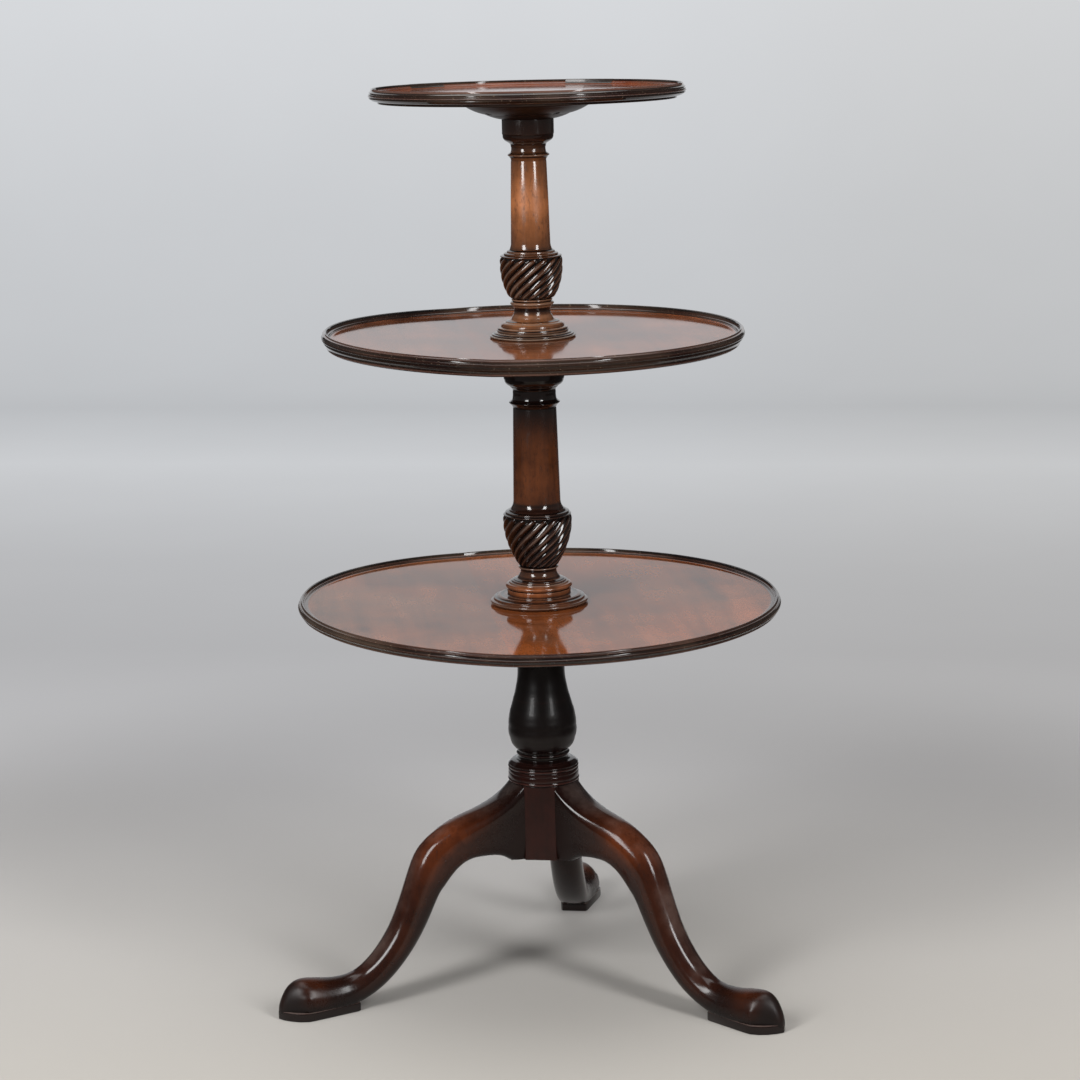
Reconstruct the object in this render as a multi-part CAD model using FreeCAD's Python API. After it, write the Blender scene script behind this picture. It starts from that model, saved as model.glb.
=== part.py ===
"""Three-tier dumbwaiter table: round trays that revolve on a turned column over a tripod base.

Millimetres, +Z up. The origin is the middle of the table's footprint, on the floor. The rear leg points
along +Y and the viewer stands towards -Y. The column stands a little towards the viewer of the origin,
because the rear foot reaches further out than the front edge of the widest tray.
"""

import FreeCAD
import Part
import math
import os

# Tripod base
hub_bottom = 166.5
hub_height = 95.5
hub_radius = 44.3
collar_height = 29.0
vase_height = 127.0
vase_radius = 42.5
pillar_cap_height = 40.0
pillar_cap_radius = 40.0

# Legs
leg_reach = 359.5
leg_rise = 262.0
leg_half_width = 25.0
dovetail_depth = 15.0
dovetail_root_half_width = 6.5
dovetail_end_half_width = 9.5
dovetail_stop = 16.0
dovetail_gap = 0.1
foot_block_height = 11.0
foot_heel_reach = 258.0
foot_half_width = 28.0

# Iron brace under the hub
brace_thickness = 2.5
brace_disc_radius = 30.0
brace_arm_reach = 50.0
brace_arm_width = 20.0
brace_screw_reach = 43.0

# Columns
middle_foot_height = 46.5
middle_foot_radius = 59.5
middle_urn_height = 64.5
middle_urn_neck_radius = 23.5
middle_urn_radius = 42.7
middle_shaft_height = 133.2
middle_shaft_lower_radius = 29.4
middle_shaft_upper_radius = 26.8
middle_cap_height = 53.0
middle_cap_radius = 37.5
top_foot_height = 46.5
top_foot_radius = 52.5
top_urn_height = 51.5
top_urn_neck_radius = 25.0
top_urn_radius = 38.3
top_shaft_height = 114.8
top_shaft_lower_radius = 24.1
top_shaft_upper_radius = 21.7
top_cap_height = 51.0
top_cap_radius = 31.6

# Spiral reeds carved on the two urns
middle_reed_count = 18
top_reed_count = 16
middle_reed_slope = 42.0
top_reed_slope = 38.0
reed_depth = 1.7
urn_sections = 9
points_per_reed = 4

# Degree of the smooth surfaces of the urns and legs
curve_degree = 3

# Trays
bottom_tray_radius = 300.0
bottom_tray_thickness = 9.7
bottom_rim_rise = 5.1
middle_tray_radius = 259.0
middle_tray_thickness = 13.0
middle_rim_rise = 5.8
top_tray_radius = 191.5
top_tray_thickness = 12.0
top_rim_rise = 5.9
rim_width = 14.0
rim_undercut = 9.0
top_rim_undercut = 14.0

# Glued board joints in the two wide trays, and two let-in repairs in the rim of the top tray
board_joint_azimuth = 195.0
bottom_board_joint = 66.0
middle_board_joint = 78.0
patch_width = 9.0
left_patch_azimuth = 141.0
left_patch_span = 17.0
right_patch_azimuth = 73.0
right_patch_span = 20.0

# Turned bosses under the trays
boss_height = 22.0
bottom_boss_radius = 104.0
middle_boss_radius = 92.0
top_boss_radius = 80.0

# Journals, threaded ends and running gaps
base_journal_radius = 17.0
middle_journal_radius = 15.0
top_journal_radius = 13.0
top_journal_length = 19.0
screw_end_radius_step = 4.5
screw_end_length = 33.0
socket_spare_depth = 2.0
journal_clearance = 0.1
thread_clearance = 0.1
boss_gap = 0.2
tray_gap = 0.4

# Wood screws
screw_count = 4
screw_length = 17.0
screw_shank_radius = 2.3
screw_head_radius = 4.2
screw_head_height = 2.6
screw_slot_width = 0.9
screw_slot_depth = 1.1
screw_hole_clearance = 0.05
first_screw_azimuth = 45.0
screw_reach_share = 0.72
screw_seat_share = 0.42

cut_overrun = 5.0

# Outlines of the turned members: radius share, height share, bulge share of the chord
pillar_hub_shares = (
    (1.000, 0.000, 0.0),
    (1.000, 0.975, 0.0),
    (0.975, 0.982, 0.0),
    (0.975, 1.000, 0.0),
)
pillar_collar_shares = (
    (1.012, 0.000, 0.0),
    (1.012, 0.150, 0.0),
    (1.000, 0.180, 0.0),
    (1.000, 0.450, 0.0),
    (0.985, 0.480, 0.0),
    (0.995, 0.530, 0.0),
    (0.985, 0.660, 0.1),
    (0.800, 1.000, 0.16),
)
pillar_vase_shares = (
    (0.740, 0.000, 0.0),
    (0.740, 0.035, 0.0),
    (0.765, 0.045, 0.0),
    (0.765, 0.065, 0.3),
    (0.740, 0.075, 0.0),
    (0.780, 0.095, 0.0),
    (1.000, 0.340, 0.14),
    (0.835, 0.610, 0.08),
    (0.694, 0.900, -0.05),
    (0.682, 1.000, -0.01),
)
pillar_cap_shares = (
    (0.725, 0.000, 0.0),
    (0.725, 0.120, 0.45),
    (0.690, 0.150, 0.0),
    (0.690, 0.330, -0.04),
    (0.780, 0.500, -0.20),
    (0.960, 0.690, 0.18),
    (1.000, 0.720, 0.0),
    (1.000, 1.000, 0.0),
)
middle_foot_shares = (
    (0.975, 0.000, 0.0),
    (0.970, 0.115, 0.42),
    (0.930, 0.135, 0.0),
    (0.915, 0.150, 0.0),
    (0.870, 0.225, 0.22),
    (0.664, 0.235, 0.0),
    (0.664, 0.390, 0.0),
    (0.655, 0.400, 0.0),
    (0.655, 0.545, 0.35),
    (0.610, 0.565, 0.0),
    (0.535, 0.640, -0.12),
    (0.500, 0.655, 0.0),
    (0.385, 0.850, -0.20),
    (0.385, 0.925, 0.0),
    (0.400, 0.945, 0.0),
    (0.400, 1.000, 0.35),
)
top_foot_shares = (
    (0.985, 0.000, 0.0),
    (0.980, 0.055, 0.40),
    (0.890, 0.090, 0.10),
    (0.830, 0.150, 0.10),
    (0.830, 0.190, 0.0),
    (0.745, 0.255, 0.20),
    (0.740, 0.290, 0.0),
    (0.640, 0.385, 0.15),
    (0.580, 0.425, 0.0),
    (0.425, 0.640, -0.22),
    (0.425, 0.740, 0.0),
    (0.455, 0.800, -0.10),
    (0.455, 0.830, 0.0),
    (0.462, 0.920, 0.42),
    (0.450, 0.935, 0.0),
    (0.470, 1.000, 0.25),
)
middle_shaft_foot_shares = (
    (1.430, 0.000, 0.0),
    (1.430, 0.010, 0.3),
    (1.340, 0.022, 0.0),
    (1.300, 0.038, 0.3),
    (1.160, 0.058, -0.08),
    (1.040, 0.082, -0.10),
    (1.000, 0.110, -0.06),
)
top_shaft_foot_shares = (
    (1.560, 0.000, 0.0),
    (1.560, 0.010, 0.3),
    (1.350, 0.018, 0.0),
    (1.330, 0.040, 0.35),
    (1.220, 0.056, 0.0),
    (1.040, 0.090, -0.18),
    (1.000, 0.150, -0.06),
)
middle_cap_shares = (
    (0.725, 0.045, 0.0),
    (0.800, 0.110, 0.0),
    (0.800, 0.165, 0.40),
    (0.725, 0.215, 0.0),
    (0.712, 0.400, -0.04),
    (0.785, 0.505, -0.20),
    (0.800, 0.520, 0.0),
    (0.990, 0.690, 0.16),
    (1.000, 0.720, 0.0),
    (1.000, 1.000, 0.0),
)
top_cap_shares = (
    (0.690, 0.080, 0.0),
    (0.735, 0.120, 0.0),
    (0.735, 0.175, 0.40),
    (0.668, 0.215, 0.0),
    (0.662, 0.330, -0.04),
    (0.780, 0.450, -0.18),
    (0.975, 0.630, 0.16),
    (1.000, 0.660, 0.0),
    (1.000, 1.000, 0.0),
)
boss_shares = (
    (0.400, 0.000, 0.0),
    (0.650, 0.290, 0.04),
    (0.960, 0.780, 0.05),
    (1.000, 0.860, 0.20),
    (1.000, 1.000, 0.0),
)

# How full each urn is: the share of its height where it is widest, and the exponent of its curve
middle_urn_widest_share = 0.88
middle_urn_fullness_share = 0.9
top_urn_widest_share = 0.77
top_urn_fullness_share = 0.65

# Edge of a tray: inset share of the rim width, height share, bulge share; the first point is the underside
wide_rim_outer_shares = (
    (0.000, 0.520, 0.16),
    (0.120, 0.800, 0.10),
    (0.170, 0.815, 0.0),
    (0.330, 1.000, 0.10),
    (0.460, 0.985, 0.04),
)
top_rim_outer_shares = (
    (0.150, 0.330, -0.14),
    (0.070, 0.370, 0.0),
    (0.000, 0.530, 0.22),
    (0.060, 0.660, 0.14),
    (0.110, 0.690, 0.0),
    (0.090, 0.760, 0.20),
    (0.290, 1.000, 0.10),
    (0.440, 0.990, 0.04),
)
rim_cove_bulge_share = -0.20

# Sections of a leg, from hub to toe: crest radius, crest height, belly radius, belly height, half width,
# height of the shoulder where the sides turn in, and how square the belly is
leg_section_shares = (
    (0.083, 1.050, 0.083, 0.611, 1.00, 0.96, 8.0),
    (0.122, 0.973, 0.122, 0.611, 1.00, 0.94, 8.0),
    (0.167, 0.935, 0.167, 0.640, 1.00, 0.87, 8.0),
    (0.228, 0.905, 0.223, 0.660, 0.98, 0.77, 7.0),
    (0.295, 0.880, 0.273, 0.668, 0.96, 0.68, 6.0),
    (0.362, 0.848, 0.302, 0.660, 0.94, 0.64, 5.0),
    (0.412, 0.806, 0.330, 0.637, 0.92, 0.62, 4.5),
    (0.456, 0.764, 0.352, 0.608, 0.90, 0.60, 4.0),
    (0.488, 0.710, 0.375, 0.573, 0.90, 0.58, 4.0),
    (0.510, 0.638, 0.396, 0.534, 0.88, 0.56, 3.5),
    (0.526, 0.576, 0.410, 0.513, 0.88, 0.54, 3.0),
    (0.552, 0.481, 0.441, 0.412, 0.86, 0.52, 2.6),
    (0.584, 0.376, 0.484, 0.302, 0.86, 0.50, 2.4),
    (0.629, 0.284, 0.540, 0.200, 0.87, 0.48, 2.4),
    (0.676, 0.216, 0.609, 0.107, 0.86, 0.45, 2.6),
    (0.722, 0.174, 0.680, 0.050, 0.82, 0.42, 3.0),
    (0.771, 0.162, 0.748, 0.023, 0.84, 0.36, 4.0),
    (0.821, 0.165, 0.812, 0.023, 0.94, 0.32, 5.0),
    (0.868, 0.177, 0.865, 0.023, 1.03, 0.30, 5.0),
    (0.915, 0.184, 0.912, 0.023, 1.06, 0.30, 5.0),
    (0.949, 0.169, 0.949, 0.023, 0.90, 0.30, 5.0),
    (0.974, 0.138, 0.974, 0.023, 0.60, 0.30, 5.0),
    (0.990, 0.090, 0.990, 0.023, 0.32, 0.30, 4.0),
    (0.998, 0.060, 0.998, 0.023, 0.12, 0.30, 4.0),
)
leg_section_points = 24

# Half of the foot block's outline in plan: reach share from heel to toe, half width share
foot_block_shares = (
    (0.000, 0.560),
    (0.030, 0.640),
    (0.620, 0.985),
)
foot_nose_shares = (
    (0.700, 1.000),
    (0.800, 0.860),
    (0.885, 0.620),
    (0.960, 0.300),
    (1.000, 0.000),
)

# Heights that follow from the stack of pieces
hub_top = hub_bottom + hub_height
collar_top = hub_top + collar_height
vase_top = collar_top + vase_height
pillar_top = vase_top + pillar_cap_height
bottom_tray_underside = pillar_top + boss_gap + boss_height
bottom_field = bottom_tray_underside + bottom_tray_thickness
middle_column_bottom = bottom_field + tray_gap
middle_column_top = (
    middle_column_bottom + middle_foot_height + middle_urn_height + middle_shaft_height + middle_cap_height
)
middle_tray_underside = middle_column_top + boss_gap + boss_height
middle_field = middle_tray_underside + middle_tray_thickness
top_column_bottom = middle_field + tray_gap
top_column_top = top_column_bottom + top_foot_height + top_urn_height + top_shaft_height + top_cap_height
top_tray_underside = top_column_top + boss_gap + boss_height

# Flats on the hub that the legs butt against, and where the column stands
hub_flat = math.sqrt(hub_radius**2 - leg_half_width**2)
column_y = -(leg_reach - bottom_tray_radius) / 2
leg_azimuths = {"leg_rear": 90.0, "leg_left": 210.0, "leg_right": 330.0}
screw_azimuths = [first_screw_azimuth + 360 * turn / screw_count for turn in range(screw_count)]

parts = {}


def vector(x, y, z):
    return FreeCAD.Vector(x, y, z)


def scaled(shares, radius, base, height):
    """Real points of an outline: radius, height and bulge share."""
    return [(r * radius, base + z * height, bulge) for r, z, bulge in shares]


def outline_edges(points):
    """Lines and arcs through (radius, height, bulge) points, bulging away from the axis where positive."""
    edges = []
    for (r0, z0, _), (r1, z1, bulge) in zip(points, points[1:]):
        start, end = vector(r0, 0, z0), vector(r1, 0, z1)
        if start.distanceToPoint(end) == 0:
            continue
        if bulge == 0:
            edges.append(Part.LineSegment(start, end).toShape())
            continue
        middle = vector((r0 + r1) / 2 + bulge * (z1 - z0), 0, (z0 + z1) / 2 - bulge * (r1 - r0))
        edges.append(Part.Arc(start, middle, end).toShape())
    return edges


def turned(points):
    """Solid of revolution whose outline runs from the lowest point up; both ends are flat."""
    closed = [(0, points[0][1], 0), *points, (0, points[-1][1], 0), (0, points[0][1], 0)]
    face = Part.Face(Part.Wire(outline_edges(closed)))
    return face.revolve(vector(0, 0, 0), vector(0, 0, 1), 360)


def cylinder(radius, bottom, height):
    return Part.makeCylinder(radius, height, vector(0, 0, bottom))


def placed(shape, azimuth):
    """Copy of a shape turned about the column's axis."""
    copy = shape.copy()
    copy.rotate(vector(0, 0, 0), vector(0, 0, 1), azimuth)
    return copy


def slab(x0, x1, half_width, z0, z1):
    return Part.makeBox(x1 - x0, 2 * half_width, z1 - z0, vector(x0, -half_width, z0))


def closed_solid(rings):
    """Solid whose side is one smooth surface drawn by the rings of points, with a flat face at each end."""
    around, spans = len(rings[0]), len(rings) - curve_degree
    net = [[ring[spot] for ring in rings] for spot in range(around)]
    clamped = curve_degree + 1
    surface = Part.BSplineSurface()
    surface.buildFromPolesMultsKnots(
        net, [1] * (around + 1), [clamped] + [1] * (spans - 1) + [clamped],
        list(range(around + 1)), list(range(spans + 1)), True, False, curve_degree, curve_degree,
    )
    side = surface.toShape()
    ends = [edge for edge in side.Edges if edge.isClosed()]
    skin = Part.makeCompound([side] + [Part.Face(Part.Wire(end)) for end in ends])
    skin.sewShape()
    return Part.Solid(skin.Shells[0])


# Screws

def wood_screw(clearance=0):
    """Countersunk wood screw that points up, with the flat of its head at height 0."""
    shank = screw_shank_radius + clearance
    head = screw_head_radius + clearance
    tip_start = screw_length - 2 * screw_shank_radius
    points = [
        (head, 0, 0),
        (shank, screw_head_height + clearance, 0),
        (shank, tip_start, 0),
        (0, screw_length + clearance, 0),
    ]
    return turned(points)


def slotted_screw():
    screw = wood_screw()
    slot = Part.makeBox(
        2 * screw_head_radius, screw_slot_width, screw_slot_depth,
        vector(-screw_head_radius, -screw_slot_width / 2, 0),
    )
    return screw.cut(slot)


def screw_ring(azimuths, reach, height):
    """Screws at one reach from the axis, and the tool that cuts their holes and the way in for the head."""
    screws = []
    holes = []
    for turn, azimuth in enumerate(azimuths):
        way_in = cylinder(screw_head_radius + screw_hole_clearance, -boss_height, boss_height)
        hole = wood_screw(screw_hole_clearance).fuse(way_in)
        screw = slotted_screw()
        screw.rotate(vector(0, 0, 0), vector(0, 0, 1), azimuth * (turn + 1))
        for shape, group in ((screw, screws), (hole, holes)):
            shape.translate(vector(reach, 0, height))
            group.append(placed(shape, azimuth))
    return screws, holes


# Tripod base

def foot_block():
    """Flat shod block under the foot, square at the heel and pointed at the toe."""
    length = leg_reach - foot_heel_reach
    side = [vector(foot_heel_reach + x * length, y * foot_half_width, 0) for x, y in foot_block_shares]
    nose = [vector(foot_heel_reach + x * length, y * foot_half_width, 0) for x, y in foot_nose_shares]
    mirrored_side = [vector(p.x, -p.y, p.z) for p in side]
    mirrored_nose = [vector(p.x, -p.y, p.z) for p in nose]
    curve = Part.BSplineCurve()
    curve.interpolate([side[-1], *nose, *mirrored_nose[-2::-1], mirrored_side[-1]])
    edges = [curve.toShape()]
    corners = [mirrored_side[-1], mirrored_side[1], mirrored_side[0], side[0], side[1], side[-1]]
    for start, end in zip(corners, corners[1:]):
        edges.append(Part.LineSegment(start, end).toShape())
    return Part.Face(Part.Wire(edges)).extrude(vector(0, 0, foot_block_height))


def leg_section(shares):
    """Closed section of a leg in the plane through its crest and belly, square to the leg's own plane."""
    crest_r, crest_z, belly_r, belly_z, width, shoulder, squareness = shares
    crest = vector(crest_r * leg_reach, 0, crest_z * leg_rise)
    belly = vector(belly_r * leg_reach, 0, belly_z * leg_rise)
    points = []
    for step in range(leg_section_points):
        angle = 2 * math.pi * step / leg_section_points
        across, up = math.cos(angle), math.sin(angle)
        if up >= 0:
            rise = shoulder + (1 - shoulder) * up
        else:
            swell = (abs(across) ** squareness + abs(up) ** squareness) ** (-1 / squareness)
            across *= swell
            rise = shoulder * (1 + up * swell)
        spot = belly + (crest - belly) * rise
        points.append(vector(spot.x, across * width * leg_half_width, spot.z))
    return points


def leg():
    """Cabriole leg with its dovetail, pad foot and foot block, along +X."""
    body = closed_solid([leg_section(shares) for shares in leg_section_shares])
    beyond = leg_reach * 2
    inner_cut = slab(-cut_overrun, hub_flat, beyond, -cut_overrun, beyond)
    collar_cut = slab(0, hub_radius + cut_overrun, beyond, hub_top, beyond)
    lower_cut = slab(-cut_overrun, 2 * hub_radius, beyond, 0, hub_bottom)
    body = body.cut(inner_cut).cut(collar_cut).cut(lower_cut)
    body = body.fuse(foot_block())
    return body.fuse(dovetail(0)).removeSplitter()


def dovetail(gap):
    """Tongue that slides up into the hub; with a gap, the mortise that takes it."""
    inner = hub_flat - dovetail_depth - gap
    outer = hub_flat + gap
    corners = [
        vector(inner, -dovetail_end_half_width - gap, hub_bottom),
        vector(outer, -dovetail_root_half_width - gap, hub_bottom),
        vector(outer, dovetail_root_half_width + gap, hub_bottom),
        vector(inner, dovetail_end_half_width + gap, hub_bottom),
    ]
    face = Part.Face(Part.makePolygon([*corners, corners[0]]))
    return face.extrude(vector(0, 0, hub_height - dovetail_stop + gap))


def base_pillar():
    """Turned pillar: hub with flats and dovetail mortises, collar, vase, cap, journal and threaded end."""
    points = scaled(pillar_hub_shares, hub_radius, hub_bottom, hub_height)
    points += scaled(pillar_collar_shares, hub_radius, hub_top, collar_height)
    points += scaled(pillar_vase_shares, vase_radius, collar_top, vase_height)
    points += scaled(pillar_cap_shares, pillar_cap_radius, vase_top, pillar_cap_height)
    pillar = turned(points).fuse(journal(base_journal_radius, pillar_top, middle_column_bottom))
    for azimuth in leg_azimuths.values():
        flat = slab(hub_flat, hub_radius + cut_overrun, leg_half_width, hub_bottom - cut_overrun, hub_top)
        mortise = dovetail(dovetail_gap)
        pillar = pillar.cut(placed(flat, azimuth)).cut(placed(mortise, azimuth))
    return pillar


def journal(radius, bottom, shoulder):
    """Bearing that passes through a boss and its tray to a shoulder, with a threaded end above."""
    bearing = cylinder(radius, bottom, shoulder - bottom)
    threaded_end = cylinder(radius - screw_end_radius_step, shoulder, screw_end_length)
    return bearing.fuse(threaded_end)


def socket(radius, shoulder):
    depth = screw_end_length + socket_spare_depth
    return cylinder(radius - screw_end_radius_step + thread_clearance, shoulder, depth)


def iron_brace():
    plate = cylinder(brace_disc_radius, hub_bottom - brace_thickness, brace_thickness)
    for azimuth in leg_azimuths.values():
        arm = slab(0, brace_arm_reach, brace_arm_width / 2, hub_bottom - brace_thickness, hub_bottom)
        plate = plate.fuse(placed(arm, azimuth))
    return plate.removeSplitter()


# Columns

def urn_radius(share, neck, widest, widest_share, fullness):
    """Radius of an urn at a share of its height."""
    rise = math.sin(math.pi / 2 * min(share / widest_share, 1))
    return neck + (widest - neck) * rise**fullness


def reeded_urn(bottom, height, neck, widest, widest_share, fullness, reeds, slope):
    """Urn carved with spiral reeds that keep one slope as they climb."""
    rings = []
    turn = 0
    step_height = height / (urn_sections - 1)
    for section in range(urn_sections):
        share = section / (urn_sections - 1)
        radius = urn_radius(share, neck, widest, widest_share, fullness)
        depth = reed_depth * radius / widest
        if section:
            turn += step_height / math.tan(math.radians(slope)) / radius
        ring = []
        for tooth in range(reeds * points_per_reed):
            angle = 2 * math.pi * tooth / (reeds * points_per_reed)
            reach = radius - depth * (1 - abs(math.cos(angle * reeds / 2)))
            ring.append(vector(
                reach * math.cos(angle + turn), reach * math.sin(angle + turn), bottom + section * step_height,
            ))
        rings.append(ring)
    return closed_solid(rings)


def middle_column():
    foot_top = middle_column_bottom + middle_foot_height
    urn_top = foot_top + middle_urn_height
    cap_bottom = urn_top + middle_shaft_height
    foot = turned(scaled(middle_foot_shares, middle_foot_radius, middle_column_bottom, middle_foot_height))
    urn = reeded_urn(
        foot_top, middle_urn_height, middle_urn_neck_radius, middle_urn_radius, middle_urn_widest_share,
        middle_urn_fullness_share, middle_reed_count, middle_reed_slope,
    )
    points = scaled(middle_shaft_foot_shares, middle_shaft_lower_radius, urn_top, middle_shaft_height)
    points.append((middle_shaft_upper_radius, cap_bottom, 0))
    points += scaled(middle_cap_shares, middle_cap_radius, cap_bottom, middle_cap_height)
    column = foot.fuse(urn).fuse(turned(points))
    column = column.fuse(journal(middle_journal_radius, middle_column_top, top_column_bottom))
    return column.cut(socket(base_journal_radius, middle_column_bottom))


def top_column():
    foot_top = top_column_bottom + top_foot_height
    urn_top = foot_top + top_urn_height
    cap_bottom = urn_top + top_shaft_height
    foot = turned(scaled(top_foot_shares, top_foot_radius, top_column_bottom, top_foot_height))
    urn = reeded_urn(
        foot_top, top_urn_height, top_urn_neck_radius, top_urn_radius, top_urn_widest_share,
        top_urn_fullness_share, top_reed_count, top_reed_slope,
    )
    points = scaled(top_shaft_foot_shares, top_shaft_lower_radius, urn_top, top_shaft_height)
    points.append((top_shaft_upper_radius, cap_bottom, 0))
    points += scaled(top_cap_shares, top_cap_radius, cap_bottom, top_cap_height)
    column = foot.fuse(urn).fuse(turned(points))
    column = column.fuse(cylinder(top_journal_radius, top_column_top, top_journal_length))
    return column.cut(socket(middle_journal_radius, top_column_bottom))


# Tiers

def tray_blank(radius, underside, thickness, rise, undercut, rim_shares):
    """Round tray with a moulded edge: a low rim, a cove inside it and an undercut below."""
    height = thickness + rise
    points = [(radius - undercut, underside, 0)]
    points += [(radius - x * rim_width, underside + z * height, bulge) for x, z, bulge in rim_shares]
    points.append((radius - rim_width, underside + thickness, rim_cove_bulge_share))
    return turned(points)


def boss(radius, bottom, bore, bore_depth, screw_azimuths):
    """Turned bearing block under a tray, its screws, and the tool that cuts their holes."""
    points = scaled(boss_shares, radius, bottom, boss_height)
    block = turned(points).cut(cylinder(bore + journal_clearance, bottom, bore_depth))
    reach = radius * screw_reach_share
    head_height = bottom + boss_height * screw_seat_share
    screws, holes = screw_ring(screw_azimuths, reach, head_height)
    for hole in holes:
        block = block.cut(hole)
    return block, Part.makeCompound(screws), holes


def boards(tray, radius, joint):
    """The two boards that a wide tray is glued up from, cut at its joint."""
    reach = radius + cut_overrun
    side = Part.makeBox(reach, 2 * reach, middle_field, vector(joint, -reach, bottom_tray_underside))
    side = placed(side, board_joint_azimuth)
    return tray.cut(side), tray.common(side)


def rim_sector(azimuth, span):
    """Space of a repair let into the rim of the top tray, from the field up."""
    inner = top_tray_radius - patch_width
    outer = top_tray_radius + cut_overrun
    floor = top_tray_underside + top_tray_thickness
    ring = Part.makeCylinder(outer, 2 * top_rim_rise, vector(0, 0, floor), vector(0, 0, 1), span)
    core = cylinder(inner, floor - cut_overrun, 2 * top_rim_rise + 2 * cut_overrun)
    return placed(ring.cut(core), azimuth - span / 2)


# Assemble the base
one_leg = leg()
brace = iron_brace()
brace_screws, brace_holes = screw_ring(leg_azimuths.values(), brace_screw_reach, hub_bottom - brace_thickness)
for brace_hole in brace_holes:
    brace = brace.cut(brace_hole)
for name, azimuth in leg_azimuths.items():
    turned_leg = placed(one_leg, azimuth)
    for brace_hole in brace_holes:
        turned_leg = turned_leg.cut(brace_hole)
    parts[name] = turned_leg
parts["base_pillar"] = base_pillar()
parts["iron_brace"] = brace
parts["brace_screws"] = Part.makeCompound(brace_screws)

# Assemble the bottom tier
bottom_tray = tray_blank(
    bottom_tray_radius, bottom_tray_underside, bottom_tray_thickness, bottom_rim_rise, rim_undercut,
    wide_rim_outer_shares,
)
bottom_boss, bottom_screws, bottom_holes = boss(
    bottom_boss_radius, pillar_top + boss_gap, base_journal_radius, boss_height, screw_azimuths,
)
bottom_tray = bottom_tray.cut(
    cylinder(base_journal_radius + journal_clearance, bottom_tray_underside, bottom_tray_thickness)
)
for hole in bottom_holes:
    bottom_tray = bottom_tray.cut(hole)
parts["bottom_tray_main_board"], parts["bottom_tray_side_board"] = boards(
    bottom_tray, bottom_tray_radius, bottom_board_joint,
)
parts["bottom_boss"] = bottom_boss
parts["bottom_boss_screws"] = bottom_screws

# Assemble the middle tier
middle_tray = tray_blank(
    middle_tray_radius, middle_tray_underside, middle_tray_thickness, middle_rim_rise, rim_undercut,
    wide_rim_outer_shares,
)
middle_boss, middle_screws, middle_holes = boss(
    middle_boss_radius, middle_column_top + boss_gap, middle_journal_radius, boss_height, screw_azimuths,
)
middle_tray = middle_tray.cut(
    cylinder(middle_journal_radius + journal_clearance, middle_tray_underside, middle_tray_thickness)
)
for hole in middle_holes:
    middle_tray = middle_tray.cut(hole)
parts["middle_tray_main_board"], parts["middle_tray_side_board"] = boards(
    middle_tray, middle_tray_radius, middle_board_joint,
)
parts["middle_boss"] = middle_boss
parts["middle_boss_screws"] = middle_screws

# Assemble the top tier
top_tray = tray_blank(
    top_tray_radius, top_tray_underside, top_tray_thickness, top_rim_rise, top_rim_undercut,
    top_rim_outer_shares,
)
top_boss, top_screws, top_holes = boss(
    top_boss_radius, top_column_top + boss_gap, top_journal_radius, top_journal_length + socket_spare_depth,
    screw_azimuths,
)
for hole in top_holes:
    top_tray = top_tray.cut(hole)
for name, patch_azimuth, patch_span in (
    ("top_rim_left_repair", left_patch_azimuth, left_patch_span),
    ("top_rim_right_repair", right_patch_azimuth, right_patch_span),
):
    sector = rim_sector(patch_azimuth, patch_span)
    parts[name] = top_tray.common(sector)
    top_tray = top_tray.cut(sector)
parts["top_tray"] = top_tray
parts["top_boss"] = top_boss
parts["top_boss_screws"] = top_screws

# Columns
parts["middle_column"] = middle_column()
parts["top_column"] = top_column()

os.makedirs("parts", exist_ok=True)
for name, shape in parts.items():
    shape.translate(vector(0, column_y, 0))
    shape.exportStep(f"parts/{name}.step")
    box = shape.BoundBox
    print(f"{name}: {len(shape.Solids)} solids, valid {shape.isValid()}, volume {shape.Volume:.0f}, "
          f"z {box.ZMin:.1f} to {box.ZMax:.1f}")
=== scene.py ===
import math

import bmesh
import bpy
from bmesh.types import BMEdge, BMVert
from mathutils import Matrix, Vector


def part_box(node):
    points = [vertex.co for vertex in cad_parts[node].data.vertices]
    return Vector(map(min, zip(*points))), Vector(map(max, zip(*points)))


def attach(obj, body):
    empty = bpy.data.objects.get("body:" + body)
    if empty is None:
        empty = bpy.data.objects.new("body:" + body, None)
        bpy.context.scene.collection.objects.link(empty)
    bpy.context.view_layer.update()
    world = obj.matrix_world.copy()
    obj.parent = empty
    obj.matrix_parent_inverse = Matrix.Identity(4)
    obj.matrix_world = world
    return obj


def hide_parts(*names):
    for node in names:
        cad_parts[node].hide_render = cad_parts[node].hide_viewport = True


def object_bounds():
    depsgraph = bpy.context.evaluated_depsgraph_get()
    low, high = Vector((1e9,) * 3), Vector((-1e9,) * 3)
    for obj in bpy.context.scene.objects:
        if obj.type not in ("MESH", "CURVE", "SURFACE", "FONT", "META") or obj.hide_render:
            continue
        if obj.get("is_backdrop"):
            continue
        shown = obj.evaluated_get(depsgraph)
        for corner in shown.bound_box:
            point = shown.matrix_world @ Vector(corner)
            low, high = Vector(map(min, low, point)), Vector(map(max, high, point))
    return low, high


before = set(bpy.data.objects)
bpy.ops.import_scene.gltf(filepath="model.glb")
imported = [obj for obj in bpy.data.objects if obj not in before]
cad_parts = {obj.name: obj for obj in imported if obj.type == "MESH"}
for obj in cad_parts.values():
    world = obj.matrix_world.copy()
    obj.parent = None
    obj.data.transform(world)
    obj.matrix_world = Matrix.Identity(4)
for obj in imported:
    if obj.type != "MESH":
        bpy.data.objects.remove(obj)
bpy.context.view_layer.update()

mm = 0.001
up = Vector((0, 0, 1))
scene = bpy.context.scene

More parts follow.
